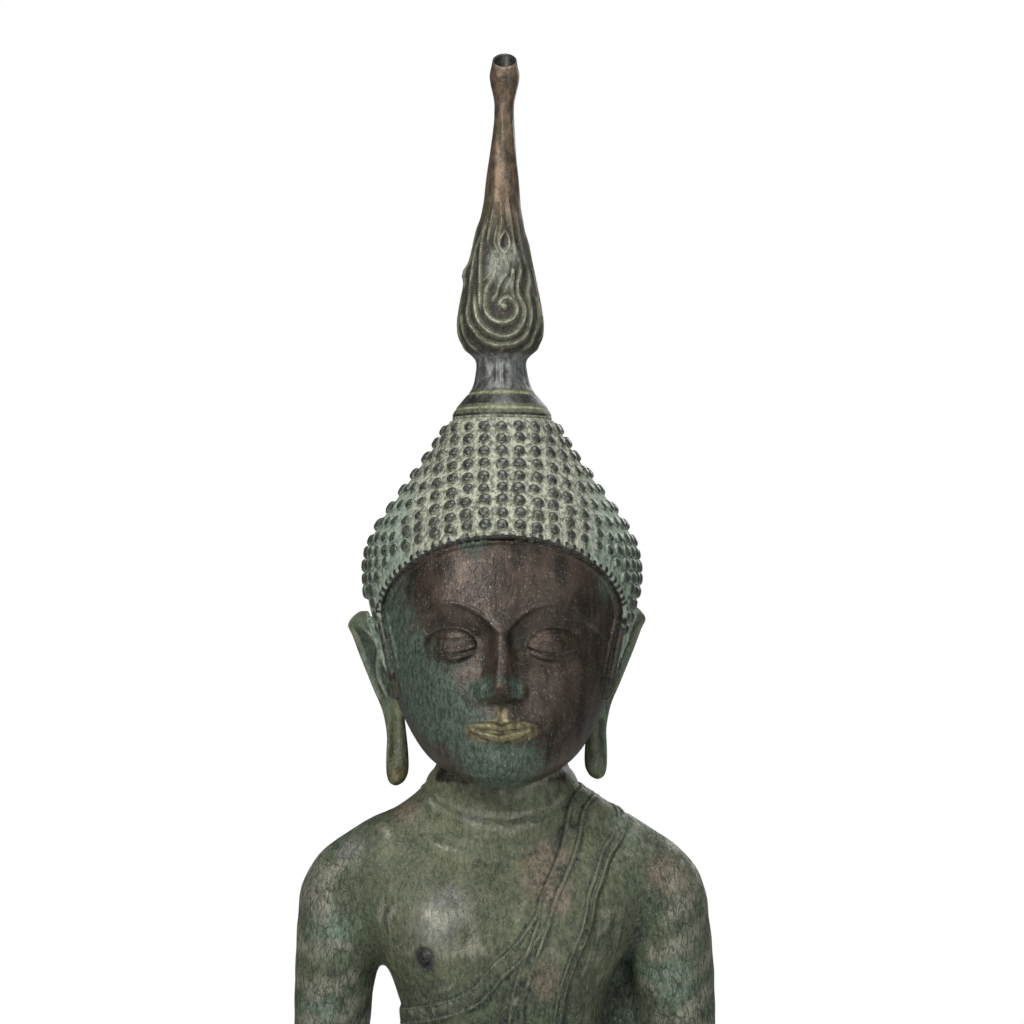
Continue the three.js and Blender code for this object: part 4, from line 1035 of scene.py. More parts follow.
def near_line(curve, reach):
    """A soft band on the skin along a curve."""
    near, _, _ = beside(curve, points, normals, reach)
    apart = points[near][:, None] - curve[None, ::2]
    distance = np.sqrt(np.einsum("ijk,ijk->ij", apart, apart).min(1))
    mask = np.zeros(len(points))
    mask[near] = 1 - smooth(reach * 0.75, reach, distance)
    return mask


fine, broad = hollowness(4), hollowness(30)
half_width, front, back = hair_size(z).T
cap_share = np.hypot(x / half_width, y / np.where(y < 0, front, back))
in_arch = np.where(z < ARCH["spring"], np.abs(x) < ARCH["half_width"] - 1, arch_share(x, z) < 0.99)
in_face = in_arch & (y < -8) & (z > CHIN - 6) & (np.abs(x) < 77)
in_hair = (z > 456) & (z < COLLAR - 4.6) & (cap_share > 0.975) & (cap_share < 1.07) & ~in_face
in_flame = z > COLLAR - 5
line = near_line(hairline(), 4.0)
# The inside of the open bud, which the dark layer paints as shade
bud_inside_shade = (z > 880) & (normals[:, 0] * (x - lean(z)) + normals[:, 1] * y < 0)
# How far each point is from the nearest hem line
worked = np.full(len(points), 9.0)
for path, _ in WORKED_LINES:
    steps = np.arange(0, len(path) - 1, 0.2)
    path = np.stack([np.interp(steps, np.arange(len(path)), column) for column in path.T], -1)
    near, distance, _ = beside(path, points, normals, 3.2)
    worked[near] = np.minimum(worked[near], np.abs(distance))
bulb = in_flame & (z > 700) & (z < 815)
stud_mark = patches([(*stud, 9.0)])
ear_shade, ear_edge = np.zeros(len(points)), np.zeros(len(points))
for side, inward, lift in ((-1, 0, 0), (1, LEFT_EAR["inward"], LEFT_EAR["lift"])):
    level = np.clip(z - lift, 440, 548)
    out, back, _, deep = along(EAR_ROWS)(level).T
    ahead, behind = side * x - out + inward, y - back
    across = (ahead * math.sin(EAR_FLARE) + behind * math.cos(EAR_FLARE)) / deep
    over = ahead * math.cos(EAR_FLARE) - behind * math.sin(EAR_FLARE)
    aside = np.abs(across)
    on_ear = (side * x > 58) & (z > 440) & (z < 553) & (aside < 1.1) & (over > -0.5) & ~in_hair & ~in_face
    bowl, scroll_line = ear_bowl(level)
    edges = bowl * bump(across - scroll_line, 0.16) + smooth(484, 498, level) * bump(aside - 0.86, 0.2)
    ear_shade += on_ear * bowl * (1 - smooth(0.5, 0.74, aside))
    ear_edge += on_ear * edges
plain_skin = (z > 300) & (z < 430)
creased = np.zeros(len(points))
for curve, share in CREASES:
    near, distance, t = beside(curve, points, normals, 6)
    shade = share * bump(distance, 1.5) * smooth(0, 0.15, t) * (1 - smooth(0.85, 1, t))
    creased[near] = np.maximum(creased[near], shade)
turn = np.arctan2(x - lean(z), -y)
pattern = np.where(bulb, flame_relief(turn, z), 0)
lip_ends = np.clip(1 - (x / 24) ** 2, 0, 1)
lip_height = np.abs(z - MOUTH["z"]) / (0.45 + 0.55 * lip_ends)
lips = in_face * smooth(0.05, 0.3, lip_ends) * (1 - smooth(5.5, 8.5, lip_height))
philtrum = in_face * bump(x, 5) * smooth(MOUTH["z"] + 4, MOUTH["z"] + 8, z)
philtrum = philtrum * (1 - smooth(NOSE_BASE - 4, NOSE_BASE + 1, z))
masks = {
    # Painted shade: hollows, creases, the grooves beside the hem lines and the ear's bowl are painted darker
    "hollow": np.where(
        in_flame, 0, smooth(0.12, 0.6, fine) * (worked > 3) * ~plain_skin + 0.8 * smooth(0.35, 1.6, broad)
        + 0.9 * bump(worked - 1.3, 0.45) + creased + 0.9 * ear_shade * (1 - ear_edge)),
    "crest": (1 - stud_mark) * np.where(
        in_flame, 0, smooth(0.14, 0.6, -fine) + 0.35 * bump(worked, 0.5) + 0.7 * ear_edge),
    "flame": in_flame * smooth(700, 712, z),
    # Painted shade: the low places between the ridges of the bulb are painted near black
    "flame_deep": bulb * (1 - smooth(0.1, 0.7, pattern)) * smooth(704, 712, z) * (1 - smooth(780, 806, z)),
    "flame_pale": (y < 0) * patches([
        (0, -22, 765, 7), (-6, -22, 768, 6), (9, -20, 772, 7), (3, -24, 752, 5), (-8, -24, 757, 5),
    ]),
    # Painted highlight: the ridges of the bulb are painted pale
    "flame_crest": bulb * smooth(0.7, 1.25, pattern),
    "hair": in_hair,
    "face": in_face * smooth(CHIN - 4, CHIN + 4, z) * smooth(-10, -24, y),
    "steel": smooth(COLLAR + 11, COLLAR + 15, z) * (1 - smooth(706, 712, z)),
    "copper": in_flame * smooth(750, 830, z + 0.35 * x),
    "side": in_hair * smooth(38, 74, np.abs(x)),
    "verdigris": ~in_face * patches([
        (-84, -6, 505, 24), (-88, 0, 530, 16), (-82, -20, 560, 18), (76, 0, 520, 20), (70, -6, 470, 20),
        (-106, -20, 352, 16), (-112, -16, 300, 14), (70, 0, 330, 16), (104, -18, 320, 16), (80, -20, 420, 14),
        (-60, 70, 540, 40), (40, 80, 500, 34), (-100, 30, 260, 40), (120, 20, 240, 30),
        (-60, -110, 170, 34), (90, -100, 150, 34), (40, 52, 330, 40), (-40, 50, 270, 44), (10, -22, 766, 8),
    ]),
    "face_green": in_face * patches([
        (-50, -66, 498, 27), (-34, -84, 484, 20), (-64, -48, 540, 26), (-16, -96, 470, 14),
        (12, -92, 452, 16), (-10, -92, 450, 17), (9, -100, 500, 8), (-10, -100, 500, 9),
        (-66, -30, 582, 16), (-20, -86, 590, 10), (60, -50, 562, 12),
    ]),
    # Worn bare bronze on the knees, lap and shoulders, and a painted highlight on the upper chest
    "bare": 0.9 * patches([
        (24, -44, 388, 17), (30, -40, 402, 12), (34, -46, 368, 10), (96, -14, 386, 14), (106, -10, 376, 12),
        (-57, -14, 422, 12), (27, -50, 324, 14), (-150, -90, 165, 22), (150, -80, 160, 22),
        (0, -130, 178, 26), (-118, -130, 150, 16), (90, 30, 390, 20),
    ]),
    # Painted sheen: pale grey patches on the right breast, the right shoulder and the root of the neck
    "grey": 0.8 * patches([
        (-43, -50, 354, 17), (-30, -50, 372, 12), (-92, -14, 398, 12), (-16, -30, 421, 9),
    ]),
    "gold": np.clip(0.85 * lips + 0.7 * philtrum + patches([(-66, -12, 446, 8)]) * 0.9, 0, 1),
    "dust": 0.8 * in_flame * np.clip(
        bump(z - 683.6, 0.9 + 0.7 * bump(x, 12)) + bump(z - 673.7, 0.8 + 0.6 * bump(x, 14)), 0, 1),
    # Darker green on the arms, the lower body and the back: partly the patina's own darker tone, and partly
    # painted shade on the arms' outer sides, under the chest and on the back
    "moss": (z < 436) * np.clip(
        smooth(56, 98, np.abs(x)) + 0.9 * (1 - smooth(305, 330, z))
        + patches([(-12, -52, 298, 26), (14, -54, 292, 24)]) + 0.3 * smooth(20, 60, y), 0, 1),
    # Dark metal of the hairline band, the breast stud and the collar's rings, and painted shade inside the
    # open bud
    "dark": (
        line - 3 * in_hair * (1 - line) + 0.85 * bud_inside_shade + stud_mark
        + in_flame * (smooth(675, 677, z) * (1 - smooth(681, 683, z)) + bump(z - 669.4, 1))),
    "crackle": np.clip(0.3 + 0.7 * smooth(70, 110, np.abs(x)) + 0.3 * (1 - smooth(310, 350, z)), 0, 1)
    * (z < 436) + 0.25 * in_face,
}
for name, values in masks.items():
    paint(figure_mesh, name, np.clip(values, -3, 1))


def node_group(name, inputs, outputs):
    """A new shader group, with the sockets that it is given and those that it fills."""
    group = bpy.data.node_groups.new(name, "ShaderNodeTree")
    kinds = {"colour": "NodeSocketColor", "number": "NodeSocketFloat", "vector": "NodeSocketVector"}
    for in_out, sockets in (("INPUT", inputs), ("OUTPUT", outputs)):
        for label, kind in sockets.items():
            group.interface.new_socket(name=label, in_out=in_out, socket_type=kinds[kind])
    return group, group.nodes.new("NodeGroupInput").outputs, group.nodes.new("NodeGroupOutput").inputs


def mixed(tree, factor, a, b, kind="RGBA"):
    """Two colours or two numbers mixed; the node keeps other sockets for each kind."""
    first, second, out = (6, 7, 2) if kind == "RGBA" else (2, 3, 0)
    return add_node(tree, "ShaderNodeMix", {0: factor, first: a, second: b}, data_type=kind).outputs[out]


def ramped(tree, value, low, high, to_low=0.0, to_high=1.0):
    node = add_node(tree, "ShaderNodeMapRange", {
        "Value": value, "From Min": low, "From Max": high, "To Min": to_low, "To Max": to_high,
    }, interpolation_type="SMOOTHSTEP")
    return node.outputs["Result"]


def noise(tree, vector, scale, detail=4.0, roughness=0.55, distortion=0.0):
    return add_node(tree, "ShaderNodeTexNoise", {
        "Vector": vector, "Scale": scale, "Detail": detail, "Roughness": roughness, "Distortion": distortion,
    }).outputs["Fac"]


def maths(tree, operation, a, b):
    return add_node(tree, "ShaderNodeMath", {0: a, 1: b}, operation=operation).outputs[0]


def times(tree, a, b):
    return maths(tree, "MULTIPLY", a, b)


# One layer of patina, or of painted shade or highlight, over what lies under it, with a ragged edge and two
# mottled tones
layer_group, given, result = node_group("patina_layer", {
    "Vector": "vector", "Colour": "colour", "Roughness": "number", "Metallic": "number", "Mask": "number",
    "Low": "colour", "High": "colour", "Layer Roughness": "number", "Layer Metallic": "number",
    "Scale": "number", "Ragged": "number", "Softness": "number", "Most": "number",
}, {"Colour": "colour", "Roughness": "number", "Metallic": "number", "Mask": "number"})
tree = layer_group
ragged = maths(tree, "SUBTRACT", noise(tree, given["Vector"], given["Scale"], 7.0, 0.68), 0.5)
ragged = times(tree, times(tree, ragged, given["Ragged"]), ramped(tree, given["Mask"], 0.0, 0.3))
cover = ramped(
    tree, maths(tree, "ADD", given["Mask"], ragged),
    maths(tree, "SUBTRACT", 0.5, given["Softness"]), maths(tree, "ADD", 0.5, given["Softness"]))
cover = times(tree, cover, given["Most"])
mottle = ramped(tree, noise(tree, given["Vector"], times(tree, given["Scale"], 3.1), 6.0, 0.7), 0.36, 0.64)
for socket, value in (
    ("Colour", mixed(tree, cover, given["Colour"], mixed(tree, mottle, given["Low"], given["High"]))),
    ("Roughness", mixed(tree, cover, given["Roughness"], given["Layer Roughness"], "FLOAT")),
    ("Metallic", mixed(tree, cover, given["Metallic"], given["Layer Metallic"], "FLOAT")),
    ("Mask", cover),
):
    tree.links.new(value, result[socket])

# Fine upright cracks in the old patina, in long cells, with a finer net between them
crackle_group, given, result = node_group("crackle", {
    "Vector": "vector", "Scale": "number", "Amount": "number",
}, {"Lines": "number", "Height": "number"})
tree = crackle_group
wander = add_node(tree, "ShaderNodeTexNoise", {"Vector": given["Vector"], "Scale": 90.0, "Detail": 4.0})
push = add_node(tree, "ShaderNodeVectorMath", {
    0: wander.outputs["Color"], 1: (0.007, 0.007, 0.012),
}, operation="MULTIPLY")
bent = add_node(tree, "ShaderNodeVectorMath", {0: given["Vector"], 1: push.outputs[0]}, operation="ADD")
stretched = add_node(tree, "ShaderNodeMapping", {"Vector": bent.outputs[0], "Scale": (1.0, 1.0, 0.36)})
nets = []
for factor, width in ((1.0, 0.075), (2.3, 0.085)):
    cells = add_node(tree, "ShaderNodeTexVoronoi", {
        "Vector": stretched.outputs[0], "Scale": times(tree, given["Scale"], factor),
    }, feature="DISTANCE_TO_EDGE")
    nets.append(ramped(tree, cells.outputs["Distance"], 0.0, width, 1.0, 0.0))
gate = ramped(tree, noise(tree, given["Vector"], 70.0), 0.45, 0.6)
net = maths(tree, "MAXIMUM", nets[0], times(tree, nets[1], gate))
broken = times(tree, net, ramped(tree, noise(tree, given["Vector"], 150.0), 0.34, 0.56))
lines = times(tree, broken, given["Amount"])
tree.links.new(lines, result["Lines"])
tree.links.new(times(tree, lines, -1.0), result["Height"])

# Base tones of the patina, and its layers: mask, low and high tone, roughness, metal, scale, raggedness,
# softness of the edge, and the most that a layer covers
OLIVE = ((0.030, 0.038, 0.023), (0.169, 0.183, 0.109))
HAIR_TONES = ((0.060, 0.068, 0.050), (0.400, 0.405, 0.315), 0.74, 0.0, 130.0, 0.3, 0.16, 1.0)
SIDE_TONES = ((0.075, 0.108, 0.085), (0.340, 0.410, 0.330), 0.70, 0.0, 150.0, 1.0, 0.4, 0.85)
FIGURE_LAYERS = [
    # Darker patina in part, and painted shade on the arms, under the chest and on the back
    ("moss", (0.016, 0.025, 0.015), (0.088, 0.112, 0.066), 0.66, 0.05, 150.0, 1.5, 0.40, 0.75),
    # Worn bronze, and a painted highlight on the upper chest
    ("bare", (0.085, 0.068, 0.050), (0.250, 0.200, 0.150), 0.55, 0.20, 140.0, 1.6, 0.38, 0.8),
    # Painted sheen
    ("grey", (0.090, 0.092, 0.086), (0.245, 0.240, 0.225), 0.50, 0.25, 110.0, 1.3, 0.42, 0.75),
    ("verdigris", (0.045, 0.072, 0.052), (0.165, 0.225, 0.170), 0.68, 0.05, 150.0, 1.8, 0.36, 0.75),
    ("face", (0.020, 0.015, 0.011), (0.070, 0.050, 0.037), 0.38, 0.40, 28.0, 0.5, 0.2, 1.0),
    ("face_green", (0.018, 0.032, 0.024), (0.090, 0.130, 0.100), 0.56, 0.10, 170.0, 2.2, 0.4, 0.85),
    ("hair", *HAIR_TONES), ("side", *SIDE_TONES),
    ("steel", (0.050, 0.052, 0.052), (0.210, 0.215, 0.205), 0.46, 0.40, 90.0, 0.5, 0.16, 1.0),
    ("flame", (0.050, 0.042, 0.030), (0.190, 0.165, 0.120), 0.50, 0.30, 90.0, 0.3, 0.16, 1.0),
    ("copper", (0.050, 0.034, 0.023), (0.170, 0.112, 0.075), 0.46, 0.45, 70.0, 0.9, 0.4, 0.9),
    # Dark metal, and painted shade inside the bud
    ("dark", (0.016, 0.016, 0.016), (0.060, 0.060, 0.056), 0.40, 0.45, 60.0, 0.5, 0.2, 1.0),
    ("gold", (0.070, 0.058, 0.028), (0.210, 0.185, 0.100), 0.42, 0.50, 90.0, 0.9, 0.3, 0.9),
    # Painted shade between the bulb's ridges
    ("flame_deep", (0.010, 0.008, 0.006), (0.050, 0.040, 0.030), 0.65, 0.10, 120.0, 0.5, 0.35, 0.95),
    ("flame_pale", (0.090, 0.100, 0.078), (0.300, 0.315, 0.255), 0.66, 0.05, 150.0, 1.3, 0.38, 0.85),
    # Painted highlight on the bulb's ridges
    ("flame_crest", (0.150, 0.135, 0.102), (0.380, 0.355, 0.290), 0.40, 0.40, 120.0, 1.5, 0.35, 0.85),
    # Painted shade in the figure's hollows and creases
    ("hollow", (0.010, 0.014, 0.010), (0.060, 0.078, 0.056), 0.78, 0.05, 150.0, 0.9, 0.35, 0.9),
    ("crest", (0.130, 0.128, 0.095), (0.300, 0.295, 0.230), 0.42, 0.40, 160.0, 1.3, 0.35, 0.75),
    ("dust", (0.150, 0.152, 0.085), (0.350, 0.350, 0.240), 0.85, 0.0, 160.0, 1.0, 0.3, 0.9),
]


def bronze(name, layers, crackle_scale, crackle_amount):
    """Aged bronze: mottled patina under layers that follow the piece's own masks, some of them painted shade
    and highlights, with cracks and pits.
    """
    material = bpy.data.materials.new(name)
    material.use_nodes = True
    tree = material.node_tree
    tree.nodes.clear()
    where = add_node(tree, "ShaderNodeTexCoord").outputs["Object"]
    upright = add_node(tree, "ShaderNodeMapping", {"Vector": where, "Scale": (1.0, 1.0, 0.42)}).outputs[0]
    clouds = ramped(tree, noise(tree, where, 26.0, 6.0, 0.62), 0.33, 0.68)
    grain = ramped(tree, noise(tree, upright, 330.0, 6.0, 0.72, 0.6), 0.36, 0.66)
    colour = mixed(tree, mixed(tree, 0.6, clouds, grain, "FLOAT"), (*OLIVE[0], 1), (*OLIVE[1], 1))
    roughness, metallic = mixed(tree, grain, 0.46, 0.64, "FLOAT"), mixed(tree, clouds, 0.35, 0.2, "FLOAT")
    for mask, low, high, rough, metal, scale, ragged_edge, softness, most in layers:
        attribute = add_node(tree, "ShaderNodeAttribute", attribute_name=mask)
        layer = add_node(tree, "ShaderNodeGroup", node_tree=layer_group, inputs={
            "Vector": upright, "Colour": colour, "Roughness": roughness, "Metallic": metallic,
            "Mask": attribute.outputs["Fac"], "Low": (*low, 1), "High": (*high, 1),
            "Layer Roughness": rough, "Layer Metallic": metal, "Scale": scale, "Ragged": ragged_edge,
            "Softness": softness, "Most": most,
        })
        colour, roughness, metallic = (layer.outputs[label] for label in ("Colour", "Roughness", "Metallic"))
    amount = add_node(tree, "ShaderNodeAttribute", attribute_name="crackle").outputs["Fac"]
    crackle = add_node(tree, "ShaderNodeGroup", node_tree=crackle_group, inputs={
        "Vector": where, "Scale": crackle_scale, "Amount": times(tree, amount, crackle_amount),
    }).outputs
    colour = mixed(tree, times(tree, crackle["Lines"], 0.72), colour, (0.018, 0.02, 0.015, 1))
    flecks = ramped(tree, noise(tree, where, 620.0, 3.0, 0.6), 0.60, 0.70)
    colour = mixed(tree, times(tree, flecks, 0.32), colour, (0.34, 0.36, 0.26, 1))
    specks = ramped(tree, noise(tree, where, 480.0, 3.0, 0.6), 0.40, 0.30)
    colour = mixed(tree, times(tree, specks, 0.55), colour, (0.015, 0.017, 0.014, 1))
    pitting = noise(tree, where, 520.0, 5.0, 0.65)
    dents = noise(tree, where, 110.0, 4.0, 0.55)
    height = maths(tree, "ADD", times(tree, pitting, 0.35), times(tree, dents, 0.8))
    height = maths(tree, "ADD", height, times(tree, crackle["Height"], 0.55))
    relief = add_node(tree, "ShaderNodeBump", {"Height": height, "Strength": 0.75, "Distance": 0.0009})
    surface = add_node(tree, "ShaderNodeBsdfPrincipled", {
        "Base Color": colour, "Roughness": roughness, "Metallic": metallic, "Normal": relief.outputs[0],
        "Specular IOR Level": 0.38,
    })
    add_node(tree, "ShaderNodeOutputMaterial", {"Surface": surface.outputs[0]})
    return material


figure_mesh.transform(Matrix.Translation((0, SET_BACK * MM, 0)) @ Matrix.Scale(MM, 4))
figure_mesh.shade_smooth()
figure_mesh.materials.clear()
figure_mesh.materials.append(bronze("figure_patina", FIGURE_LAYERS, 210.0, 0.95))
figure = thing_of(figure_mesh)
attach(figure, "root")
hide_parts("figure")

# The curls of the hair: small round bosses of the same bronze casting, each pressed on in wax before it was
# cast, in level rows that sag to follow the hairline and leave the face and ears clear.
CURL_PITCH = 10.6
ROW_PITCH = 7.9
CURL_WIDTH = 8.1
CURL_SIDES = 12
# Radius as a share of the curl's width, height in millimetres, and how near the tip
CURL_PROFILE = [
    [0.5, -1.2, 0.0], [0.5, 0.2, 0.05], [0.48, 1.0, 0.3], [0.41, 1.85, 0.75], [0.28, 2.5, 1.0],
    [0.12, 2.7, 1.0],
]


def boss(name, sections, **masks):
    """One small raised form about its own foot, in metres, to be set many times over."""
    shape, faces = loft(np.array(sections))
    mesh = mesh_of(name, shape * MM, faces)
    for mask, values in masks.items():
        paint(mesh, mask, values)
    return thing_of(mesh)


def level_ring(sides, radius, height, x=0.0):
    """A round and level ring of points, its middle at x."""
    turn = full_turn(sides)[0]
    return np.stack([radius * np.cos(turn) + x, radius * np.sin(turn), np.full(sides, height)], -1)


def curl():
    """A small round curl that leans a little to one side, with its tip marked for the darker patina."""
    rings = [level_ring(CURL_SIDES, CURL_WIDTH * r, height, 0.25 * tip) for r, height, tip in CURL_PROFILE]
    tips = np.repeat([tip for _, _, tip in CURL_PROFILE], CURL_SIDES)
    return boss("curl", rings, tip=np.append(tips, [0, 0.9]))


def sag(angle, level):
    """How far a row drops beside the brow, most in the rows that border it."""
    along_x = np.minimum(np.abs(70 * np.sin(angle)), 66)
    drop = np.minimum(47 * (1 - np.sqrt(1 - (along_x / 75) ** 2)), 14)
    drop = np.where(np.cos(angle) < 0, 14, drop)
    return drop * (1 - smooth(600, 655, level))


def run(path):
    """The way covered up to each point of a path."""
    return np.append(0, np.cumsum(np.linalg.norm(np.diff(path, axis=0), axis=1)))


def curl_places():
    """Where the curls sit on the cap, which way each points, and its size."""
    chance = np.random.default_rng(7)
    border = hairline()
    places, outward, sizes = [], [], []
    turn = np.linspace(-math.pi, math.pi, 721)
    for level in np.arange(COLLAR - 12, 452, -ROW_PITCH):
        ring = hair_point(turn, level - sag(turn, level), GROUND_LIFT)
        length = run(ring)
        count = max(int(round(length[-1] / CURL_PITCH)), 6)
        middle = length[-1] / 2
        steps = (np.arange(count) - count // 2) * length[-1] / count
        for angle in np.interp(middle + steps, length, turn):
            angle += chance.normal(0, 0.006)
            height = level - sag(angle, level) + chance.normal(0, 0.35)
            spot = hair_point(angle, height, GROUND_LIFT)
            worn = smooth(0.9, 1.2, abs(angle)) * (1 - smooth(1.9, 2.3, abs(angle)))
            worn = worn * (1 - smooth(560, 590, height))
            clear = np.linalg.norm(border - spot, axis=1).min() > 5.2 + 1.2 * worn
            hidden = abs(spot[0]) < ARCH["half_width"] and spot[1] < -8 and (
                height < ARCH["spring"] or arch_share(spot[0], height) < 1)
            behind_ear = 436 < height < 556 and -16 < spot[1] < 16
            if not clear or hidden or behind_ear or height < 458:
                continue
            around = hair_point(angle + 0.01, height) - hair_point(angle - 0.01, height)
            upward = hair_point(angle, height + 1) - hair_point(angle, height - 1)
            places.append(spot)
            outward.append(unit(np.cross(around, upward)))
            sizes.append((0.97 + chance.normal(0, 0.06)) * (1 + 0.12 * worn))
    return np.array(places), np.array(outward), np.array(sizes)


def set_studs_tree():
    """Sets a copy of a boss on every point, with its foot square to the point's own outward way."""
    tree = bpy.data.node_groups.new("set_studs", "GeometryNodeTree")
    for label, in_out, kind in (
        ("Geometry", "INPUT", "Geometry"), ("Boss", "INPUT", "Object"), ("Turn", "INPUT", "Float"),
        ("Seed", "INPUT", "Int"), ("Finish", "INPUT", "Material"), ("Geometry", "OUTPUT", "Geometry"),
    ):
        tree.interface.new_socket(name=label, in_out=in_out, socket_type="NodeSocket" + kind)
    given = tree.nodes.new("NodeGroupInput").outputs
    boss = add_node(tree, "GeometryNodeObjectInfo", {"Object": given["Boss"]})
    out = add_node(tree, "GeometryNodeInputNamedAttribute", {"Name": "out"}, data_type="FLOAT_VECTOR")
    size = add_node(tree, "GeometryNodeInputNamedAttribute", {"Name": "size"}, data_type="FLOAT")
    square = add_node(tree, "FunctionNodeAlignRotationToVector", {"Vector": out.outputs[0]}, axis="Z")
    upright = add_node(tree, "FunctionNodeAlignRotationToVector", {
        "Rotation": square.outputs[0], "Vector": (0, 0, 1),
    }, axis="Y", pivot_axis="Z")
    spin = add_node(tree, "FunctionNodeRandomValue", {
        2: times(tree, given["Turn"], -1.0), 3: given["Turn"], "Seed": given["Seed"],
    }, data_type="FLOAT")
    about = add_node(tree, "ShaderNodeCombineXYZ", {"Z": spin.outputs[1]})
    turned = add_node(tree, "FunctionNodeRotateRotation", {
        "Rotation": upright.outputs[0], "Rotate By": about.outputs[0],
    }, rotation_space="LOCAL")
    studs = add_node(tree, "GeometryNodeInstanceOnPoints", {
        "Points": given["Geometry"], "Instance": boss.outputs["Geometry"], "Rotation": turned.outputs[0],
        "Scale": size.outputs[0],
    })
    real = add_node(tree, "GeometryNodeRealizeInstances", {0: studs.outputs[0]})
    dressed = add_node(tree, "GeometryNodeSetMaterial", {
        "Geometry": real.outputs[0], "Material": given["Finish"],
    })
    add_node(tree, "NodeGroupOutput", {0: dressed.outputs[0]})
    return tree


studs_tree = set_studs_tree()


def studded(name, places, outward, sizes, one, turn, finish):
    """One mesh of a boss set on many places, in metres; the single boss goes."""
    mesh = bpy.data.meshes.new(name + "_places")
    mesh.from_pydata([tuple(spot) for spot in places], [], [])
    ways = mesh.attributes.new("out", "FLOAT_VECTOR", "POINT")
    ways.data.foreach_set("vector", outward.astype(np.float32).ravel())
    paint(mesh, "size", sizes)
    thing = thing_of(mesh)
    setting = thing.modifiers.new("studs", "NODES")
    setting.node_group = studs_tree
    settings = {"Boss": one, "Turn": turn, "Seed": 3, "Finish": finish}
    for item in studs_tree.interface.items_tree:
        if item.name in settings:
            setting[item.identifier] = settings[item.name]
    skin = finished(thing, name)
    bpy.data.objects.remove(one)
    while len(skin.materials) > 1:
        skin.materials.pop(index=0)
    skin.shade_smooth()
    return thing_of(skin)


CURL_LAYERS = [
    ("base", *HAIR_TONES), ("side", *SIDE_TONES),
    ("tip", (0.008, 0.010, 0.008), (0.080, 0.090, 0.070), 0.30, 0.20, 230.0, 1.7, 0.26, 0.97),
]
curl_spots, curl_out, curl_sizes = curl_places()
curls = studded("hair_curls", (curl_spots + [0, SET_BACK, 0]) * MM, curl_out, curl_sizes, curl(), 0.6,
                bronze("curl_patina", CURL_LAYERS, 150.0, 0.0))
curl_points = values_of(curls.data.vertices, "co", 3)
paint(curls.data, "base", np.ones(len(curl_points)))
paint(curls.data, "side", smooth(38, 74, np.abs(curl_points[:, 0] / MM)))
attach(curls, "root")

# The plinth: a bronze casting that carries the figure, oval in plan, with a plain foot, a moulded waist
# and a flat slab on top. It is guessed, because the photo ends above it.
PLINTH = {"width": 440, "depth": 300, "height": 110}
PLAN_POWER = 0.72
PLINTH_PROFILE = along([
    [0, 0.992], [1.5, 1.0], [11, 1.0], [13.5, 0.996], [15.2, 0.98], [16, 0.955], [22, 0.938], [32, 0.918],
    [42, 0.882], [45, 0.868], [48, 0.87], [50, 0.874], [52, 0.866], [55, 0.86], [58, 0.866], [60, 0.874],
    [62, 0.87], [65, 0.87], [76, 0.905], [88, 0.936], [91.5, 0.944], [93, 0.958], [95, 0.973], [106, 0.975],
    [108.6, 0.971], [110, 0.962],
])


def plinth_point(angle, z, lift=0.0):
    """A point of the plinth's skin, whose plan is a full oval."""
    share = PLINTH_PROFILE(z)[..., 0]
    half_width, half_depth = share * PLINTH["width"] / 2 + lift, share * PLINTH["depth"] / 2 + lift
    return ring_point(angle, z, half_width, half_depth, half_depth, PLAN_POWER)


PLINTH_LAYERS = [
    ("patchy", (0.085, 0.070, 0.050), (0.220, 0.180, 0.130), 0.52, 0.25, 60.0, 1.6, 0.4, 0.8),
    ("hollow", (0.020, 0.034, 0.026), (0.090, 0.130, 0.096), 0.76, 0.05, 120.0, 1.0, 0.3, 0.9),
    ("crest", (0.130, 0.125, 0.092), (0.300, 0.290, 0.220), 0.42, 0.40, 140.0, 1.2, 0.35, 0.8),
]
plinth_patina = bronze("plinth_patina", PLINTH_LAYERS, 230.0, 0.5)
levels = np.concatenate([
    np.linspace(0, 16, 14), np.linspace(17.5, 45, 16), np.linspace(46, 64, 20), np.linspace(65.5, 91, 16),
    np.linspace(91.8, PLINTH["height"], 16),
])[:, None]
turn = full_turn(420)
plinth_skin = plinth_point(turn, levels)
plinth_skin[..., :2] *= 1 + 0.0012 * np.sin(turn * 9 + levels / 7)[..., None]
for axis, size in enumerate((PLINTH["width"], PLINTH["depth"])):
    plinth_skin[..., axis] = np.clip(plinth_skin[..., axis], -size / 2, size / 2)
plinth_points, plinth_faces = loft(plinth_skin)
plinth_mesh = mesh_of("plinth_casting", plinth_points * MM, plinth_faces)
# Dirt lies in the steps of the profile, each a height and a reach, and its edges are worn
for name, bands in (
    ("hollow", ((17, 3), (46, 3), (64, 3), (55, 4), (91.5, 2))),
    ("crest", ((13, 1.6), (109, 1.6), (95, 1.2))),
):
    paint(plinth_mesh, name, np.clip(sum(bump(plinth_points[:, 2] - z, reach) for z, reach in bands), 0, 1))
for name, amount in (("crackle", 0.6), ("patchy", 0.3)):
    paint(plinth_mesh, name, np.full(len(plinth_points), amount))
plinth_mesh.shade_smooth()
plinth_mesh.set_sharp_from_angle(angle=math.radians(50))
plinth_mesh.materials.append(plinth_patina)
plinth = thing_of(plinth_mesh)
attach(plinth, "root")
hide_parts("plinth")

# The lotus petals and the beads of the waist: relief of the same casting as the plinth. Each kind was
# modelled once in wax and pressed on side by side, the petals in two rows that turn away from the waist.
PETALS = 24
BEADS = 150


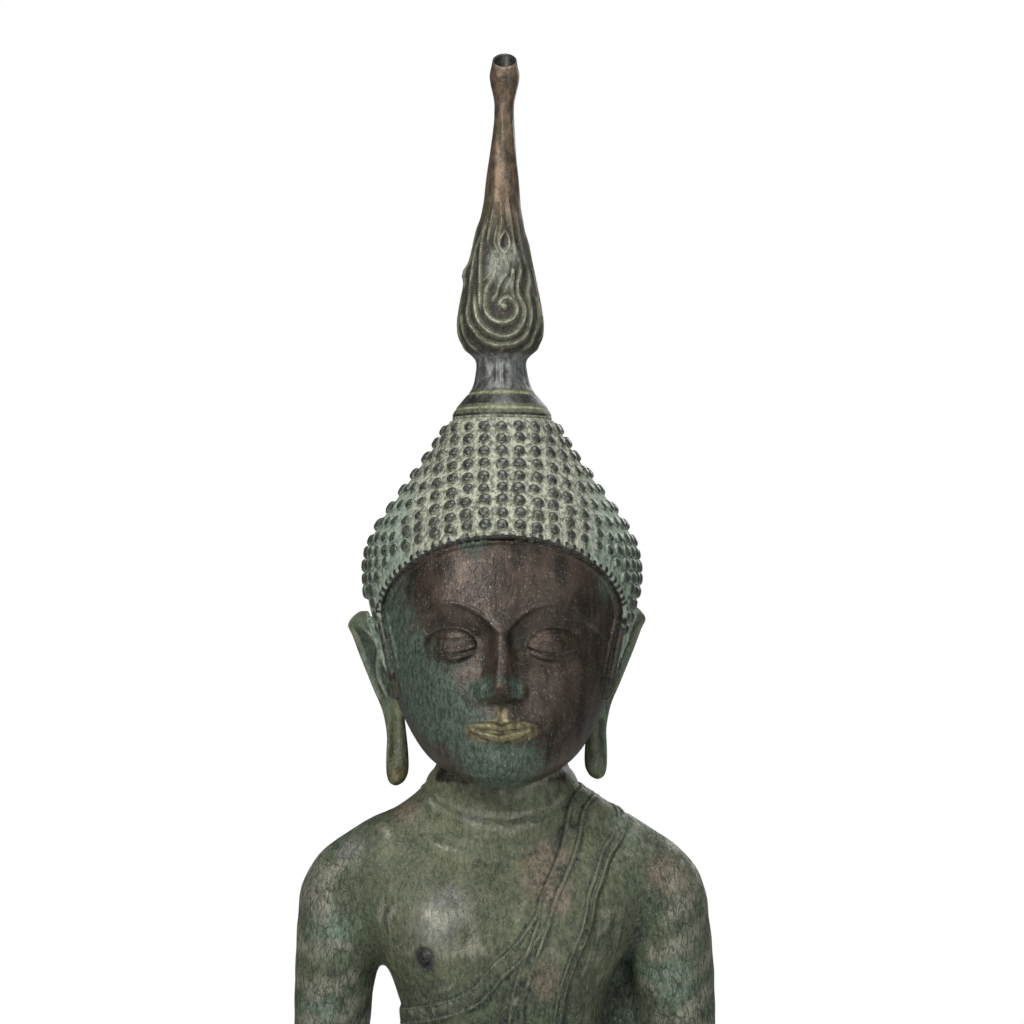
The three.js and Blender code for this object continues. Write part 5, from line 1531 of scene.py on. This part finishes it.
def plinth_row(count, z, tilt, lift):
    """Evenly spaced places on a level line of the plinth, and the outward way at each."""
    turn = np.linspace(-math.pi, math.pi, 2401)
    length = run(plinth_point(turn, z, lift))
    angle = np.interp(np.arange(count) * length[-1] / count, length, turn)
    ahead = plinth_point(angle + 0.004, z) - plinth_point(angle - 0.004, z)
    out = unit(np.cross(unit(ahead), (0, 0, 1.0)))
    return plinth_point(angle, z, lift), unit(out + [0, 0, tilt])


def petal(width, height, points_down):
    """A broad pointed petal with a raised rim and a vein, standing out from its root like a shield."""
    v = np.linspace(0, 1, 15)[:, None]
    u = np.linspace(-1, 1, 15)[None]
    outline = along([
        [0, 0.84], [0.25, 0.97], [0.5, 1.0], [0.72, 0.84], [0.88, 0.5], [0.96, 0.22], [1, 0.02],
    ])
    x = u * outline(v)[..., 0] * width / 2
    y = (v - 0.5) * height + 0.12 * height * (np.abs(u) ** 2) * (0.5 - v)
    swell = 5.2 * np.sqrt(np.clip(1 - u**2, 0, 1)) * np.sin(math.pi * (0.12 + 0.7 * v)) + 2.6 * v**3
    rim = 1.0 * bump(np.abs(u) - 0.8, 0.1) + 0.7 * bump(u, 0.07) * (1 - smooth(0.75, 0.95, v))
    front = np.stack([x, y, swell + rim], -1)
    back = np.stack([x, y, np.full_like(x, -3.0)], -1)
    sections = np.concatenate([front, back[:, ::-1]], 1)
    if points_down:
        sections[..., :2] *= -1
    crest = np.concatenate([np.clip(0.5 * rim + 0.6 * v**2, 0, 1), np.zeros_like(x)], 1)
    root = np.concatenate([(1 - v) ** 2 * np.ones_like(u), np.ones_like(x)], 1)
    return boss("petal", sections, crest=np.append(crest, [0, 0]), hollow=np.append(root, [0, 0]))


def bead(radius=3.3, sides=10):
    """A round bead, closed off a little below its middle."""
    slopes = np.radians([-25, 0, 25, 48, 70])
    rings = [level_ring(sides, radius * math.cos(a), radius * math.sin(a)) for a in slopes]
    return boss("bead", rings, crest=np.append(np.repeat([0, 0, 0.3, 0.7, 1], sides), [0, 1]))


for name, z, tilt, down in (("petals_below", 30.5, 0.5, True), ("petals_above", 78, -0.5, False)):
    spots, out = plinth_row(PETALS, z, tilt, 0.2)
    row = studded(name, spots * MM, out, np.ones(PETALS), petal(48, 29.5, down), 0.0, plinth_patina)
    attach(row, "root")
spots, out = plinth_row(BEADS, 55, 0.0, 0.6)
beads = studded("waist_beads", spots * MM, out, np.ones(BEADS), bead(), 0.0, plinth_patina)
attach(beads, "root")
